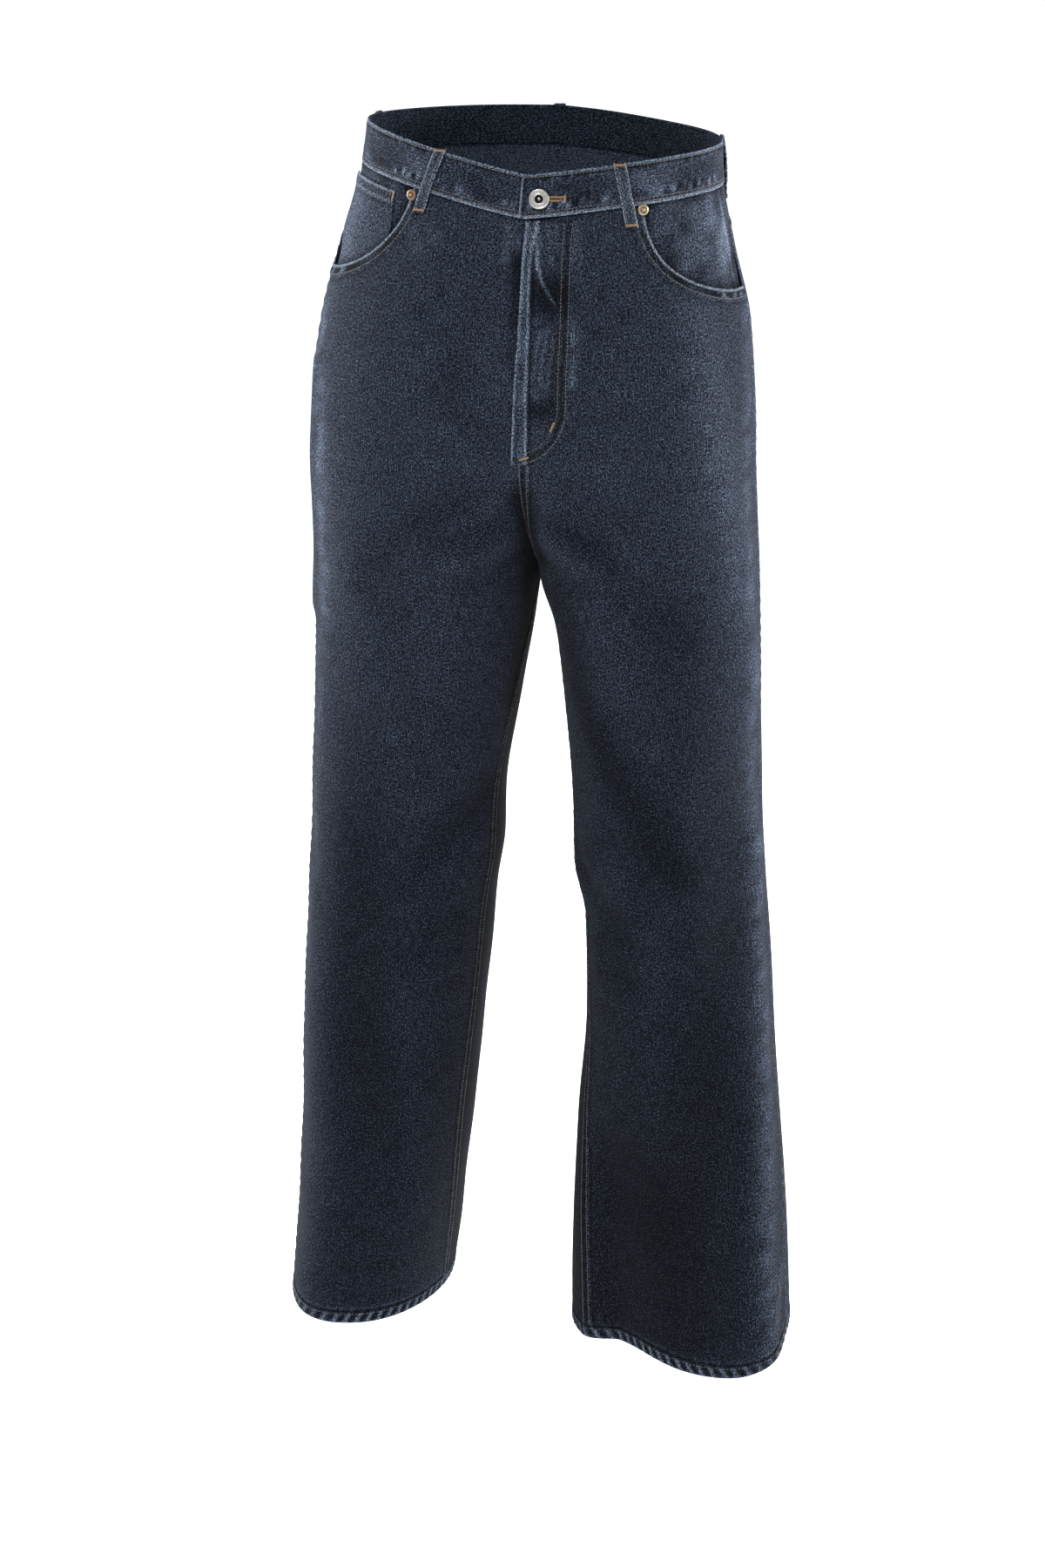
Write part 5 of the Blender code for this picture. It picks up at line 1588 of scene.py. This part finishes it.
loopLook = {
    "width": 0.0108, "thick": 0.0017, "arch": 0.0020, "step": 0.003, "above": 0.0005,
    "below": 0.017, "columns": 14, "rows": 72,
}
loop = namedtuple("loop", "name side panel distance lean")
loops = [
    loop("belt_loop_front_right", "right", "front", 0.118, 0.014),
    loop("belt_loop_front_left", "left", "front", 0.1200, 0.012),
    loop("belt_loop_side_right", "right", "back", 0.040, 0.003),
    loop("belt_loop_side_left", "left", "back", 0.040, 0.003),
    loop("belt_loop_back", "right", "back", None, 0.0),
]


def beltLoop(one):
    look = loopLook
    share = 1.0 if one.distance is None else one.distance / float(
        body[one.side].length(one.panel, 0.0))
    edge = float(bandEdge(one.side, one.panel, share))
    seamZ = edge - bandHeight
    length = bandHeight + look["below"] + look["above"]

    # Places across (-0.5 to 0.5) and down (0 to 1) the loop
    def lie(across, down):
        across, down = np.broadcast_arrays(np.asarray(across, float), np.asarray(down, float))
        z = edge + look["above"] - down * length
        seat = 0.0006 + bandProud * smooth((z - seamZ + look["step"] + 0.002) / 0.003)
        arch = look["arch"] * np.sin(math.pi * np.clip((down - 0.04) / 0.86, 0, 1)) ** 0.7
        x = np.abs(2 * across)
        out = seat + arch + look["thick"] - 0.0005 * x ** 8 + 0.0004 * hump(x, 0.62, 0.16)
        out = out - 0.0002 * hump(np.abs(across) * look["width"], 0.0034, 0.0006)
        out = out + 0.00012 * np.sin(2 * math.pi * down * length / 0.0062 + across * 3)
        wide = across * look["width"] * (1 + 0.04 * np.sin(down * 9))
        if one.distance is not None:
            run = share * body[one.side].length(one.panel, z)
            towardSide = 1 if one.panel == "front" else -1
            if one.panel == "front":
                run = -run
            run = run + wide + towardSide * one.lean * (down - 0.5)
            return (*onBody(one.side, run, z, out), z)
        place, normal = np.zeros((*z.shape, 3)), np.zeros((*z.shape, 3))
        for side in body:
            mine = (across <= 0) == (side == "right")
            if mine.any():
                run = body[side].length("back", z[mine]) - np.abs(wide[mine])
                place[mine], normal[mine] = onBody(side, run, z[mine], out[mine])
        return place, normal, z

    def wrap(column, row):
        across, down = column / look["columns"] - 0.5, row / look["rows"]
        place, normal, z = lie(across, down)
        x = np.abs(2 * across)
        wear = 0.10 + 1.9 * hump(x, 1.0, 0.26) + 0.25 * hump(x, 0.40, 0.14)
        wear = wear + 0.25 * np.sin(math.pi * down) ** 2 * hump(x, 0.3, 0.5)
        # painted shade in the stitch grooves
        shade = 1.0 * hump(x, 0.66, 0.10)
        return place, normal, np.stack([across * look["width"] + 0.05, z], -1), wear, shade

    piece = clothPiece(f"denim_{one.name}", look["columns"], look["rows"], wrap, denimPlain,
                       look["thick"] - 0.0001)
    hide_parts(one.name)
    for across in (-0.30, 0.30):
        sewAlong("loops", *lie(np.full(50, across), np.linspace(0.05, 0.95, 50))[:2])
    for down in (0.035, 0.955):
        place, normal, _ = lie(np.linspace(-0.46, 0.46, 15), np.full(15, down))
        bar("loops", place + sewing["proud"] * normal, normal, 0.0021)
    return piece


buttonLook = {"radius": 0.0085, "height": 0.0046, "x": 0.0120, "down": 0.0195}
rivetLook = {"radius": 0.00475, "height": 0.0012}
rivetSeats = {"right": (0.1055, 0.0085, copper), "left": (0.1093, 0.0052, brass)}


def waistButton():
    look = buttonLook
    z = waistTopFront - look["down"]
    run = look["x"] - body["left"].length("front", z)
    place, normal = onBody("left", np.array(run), np.array(z), np.array(bandProud + bandThick + 2 * gap))
    r, h = look["radius"], look["height"]
    outline = [(0.0, 0.0, 0), (0.42, 0.0, 0), (0.45, 0.06, 0), (0.45, 0.36, 0.3), (0.52, 0.42, 0.3),
               (0.90, 0.45, 0.1), (0.965, 0.52, 0), (1.0, 0.64, 0), (1.0, 0.76, 0), (0.975, 0.88, 0),
               (0.93, 0.96, 0), (0.88, 1.0, 0), (0.84, 0.985, 0.2), (0.81, 0.94, 0.65), (0.77, 0.94, 0.15),
               (0.62, 0.93, 0.05), (0.57, 0.94, 0.5), (0.53, 0.97, 0.1), (0.48, 1.0, 0), (0.44, 0.97, 0.1),
               (0.415, 0.90, 0.4), (0.405, 0.60, 0.95), (0.38, 0.40, 1.0), (0.30, 0.38, 1.0),
               (0.24, 0.40, 1.0), (0.19, 0.46, 0.8), (0.15, 0.56, 0.35), (0.09, 0.62, 0.25),
               (0.0, 0.64, 0.25)]
    profile = [(a * r, b * h, shade) for a, b, shade in outline]
    piece = turnedPiece("button", profile, Vector(place), normal, nickel, steps=72)
    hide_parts("waist_button")
    # the buttonhole runs from under the button away from the band's end
    at = np.linspace(0.014, 0.0315, 26)
    seat = bandProud + bandThick
    for offset in (0.0014, -0.0014):
        heights = z + offset + 0.0 * at
        run = at - body["left"].length("front", heights)
        bar("buttonhole", *onBody("left", run, heights, seat + 0.0003), 0.0021, wide=0.00072)
    heights = z + np.linspace(-0.0028, 0.0028, 9)
    run = 0.0330 - body["left"].length("front", heights)
    bar("buttonhole", *onBody("left", run, heights, seat + 0.0004), 0.0024, thick=0.0008)
    return piece


def rivet(side, distance, belowSeam, material):
    look = rivetLook
    z = float(waistSeam(side, "front", 0.45)) - belowSeam
    lift = frontRelief(side, np.array([-distance]), np.array([z]))[0]
    place, normal = onBody(side, np.array([-distance]), np.array([z]), np.maximum(lift, 0.0008))
    r, h = look["radius"], look["height"]
    outline = [(0.0, 0.0, 0.3), (0.96, 0.0, 0.3), (1.0, 0.12, 0.2), (1.0, 0.34, 0), (0.965, 0.60, 0),
               (0.90, 0.80, 0), (0.80, 0.94, 0), (0.66, 1.0, 0), (0.54, 0.92, 0.3), (0.46, 0.74, 0.85),
               (0.40, 0.70, 0.9), (0.35, 0.86, 0.5), (0.31, 1.12, 0), (0.25, 1.34, 0), (0.16, 1.44, 0),
               (0.0, 1.48, 0)]
    profile = [(a * r, b * h, shade) for a, b, shade in outline]
    piece = turnedPiece(f"rivet_cap_{side}", profile, Vector(place[0]), normal[0], material, steps=56)
    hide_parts(f"rivet_{side}")
    return piece


for side in ("right", "left"):
    frontPanel(side)
    backPanel(side)
    yoke(side)
    pocketFacing(side)
    backPocket(side)
    hem(side)
    print("made the", side, "side")
coinPocket()
flyPlacket()
waistband()
for one in loops:
    beltLoop(one)
waistButton()
for side, seat in rivetSeats.items():
    rivet(side, *seat)
sewn = makeThread(threads)


stageLook = {
    "floorZ": -1.205, "floor": (0.86, 0.86, 0.86, 1), "glow": 0.62, "world": (0.97, 0.98, 1.0, 1),
    "strength": 0.60,
}


def floorAndWorld():
    bm = bmesh.new()
    bmesh.ops.create_grid(bm, x_segments=1, y_segments=1, size=40)
    mesh = bpy.data.meshes.new("floor")
    bm.to_mesh(mesh)
    bm.free()
    floor = bpy.data.objects.new("floor", mesh)
    floor.location.z = stageLook["floorZ"]
    material, shader = newMaterial("floor")
    place = value(value.node("ShaderNodeTexCoord").outputs["Object"])
    tone = noise(place, 0.5)
    base = stageLook["floor"]
    linked = blend(tone, base, tuple(0.97 * c for c in base[:3]) + (1,))
    value.tree.links.new(linked.socket, shader.inputs["Base Color"])
    shader.inputs["Roughness"].default_value = 0.9
    shader.inputs["Emission Color"].default_value = (1, 1, 1, 1)
    shader.inputs["Emission Strength"].default_value = stageLook["glow"]
    mesh.materials.append(material)
    bpy.context.scene.collection.objects.link(floor)
    world = bpy.data.worlds.new("studio")
    world.use_nodes = True
    world.node_tree.nodes["Background"].inputs["Color"].default_value = stageLook["world"]
    world.node_tree.nodes["Background"].inputs["Strength"].default_value = stageLook["strength"]
    bpy.context.scene.world = world


lamp = namedtuple("lamp", "name place target size power")
lamps = [
    lamp("key", (-0.5, -1.9, 1.5), (0.0, 0.0, -0.25), 0.9, 30),
    lamp("right", (2.2, 0.80, 0.0), (0.1, 0.0, -0.55), 1.0, 105),
    lamp("left", (-2.2, 0.80, 0.1), (-0.1, 0.0, -0.45), 1.0, 105),
    lamp("back", (0.6, 2.6, 1.0), (0.0, 0.0, -0.5), 1.8, 22),
]


def lights():
    for one in lamps:
        data = bpy.data.lights.new(one.name, "AREA")
        data.shape = "DISK"
        data.size = one.size
        data.energy = one.power
        obj = bpy.data.objects.new(one.name, data)
        obj.location = one.place
        obj.rotation_euler = (Vector(one.target) - Vector(one.place)).to_track_quat("-Z", "Y").to_euler()
        bpy.context.scene.collection.objects.link(obj)


cameraLook = {"place": (0.297, -2.633, 0.285), "tilt": 71.57, "turn": 7, "film": 36, "lens": 69}


def camera():
    look = cameraLook
    data = bpy.data.cameras.new("camera")
    data.sensor_fit = "VERTICAL"
    data.sensor_height, data.lens = look["film"], look["lens"]
    obj = bpy.data.objects.new("camera", data)
    obj.location = look["place"]
    obj.rotation_euler = (math.radians(look["tilt"]), 0, math.radians(look["turn"]))
    bpy.context.scene.collection.objects.link(obj)
    bpy.context.scene.camera = obj


floorAndWorld()
lights()
camera()
bpy.context.scene.view_settings.view_transform = "Standard"
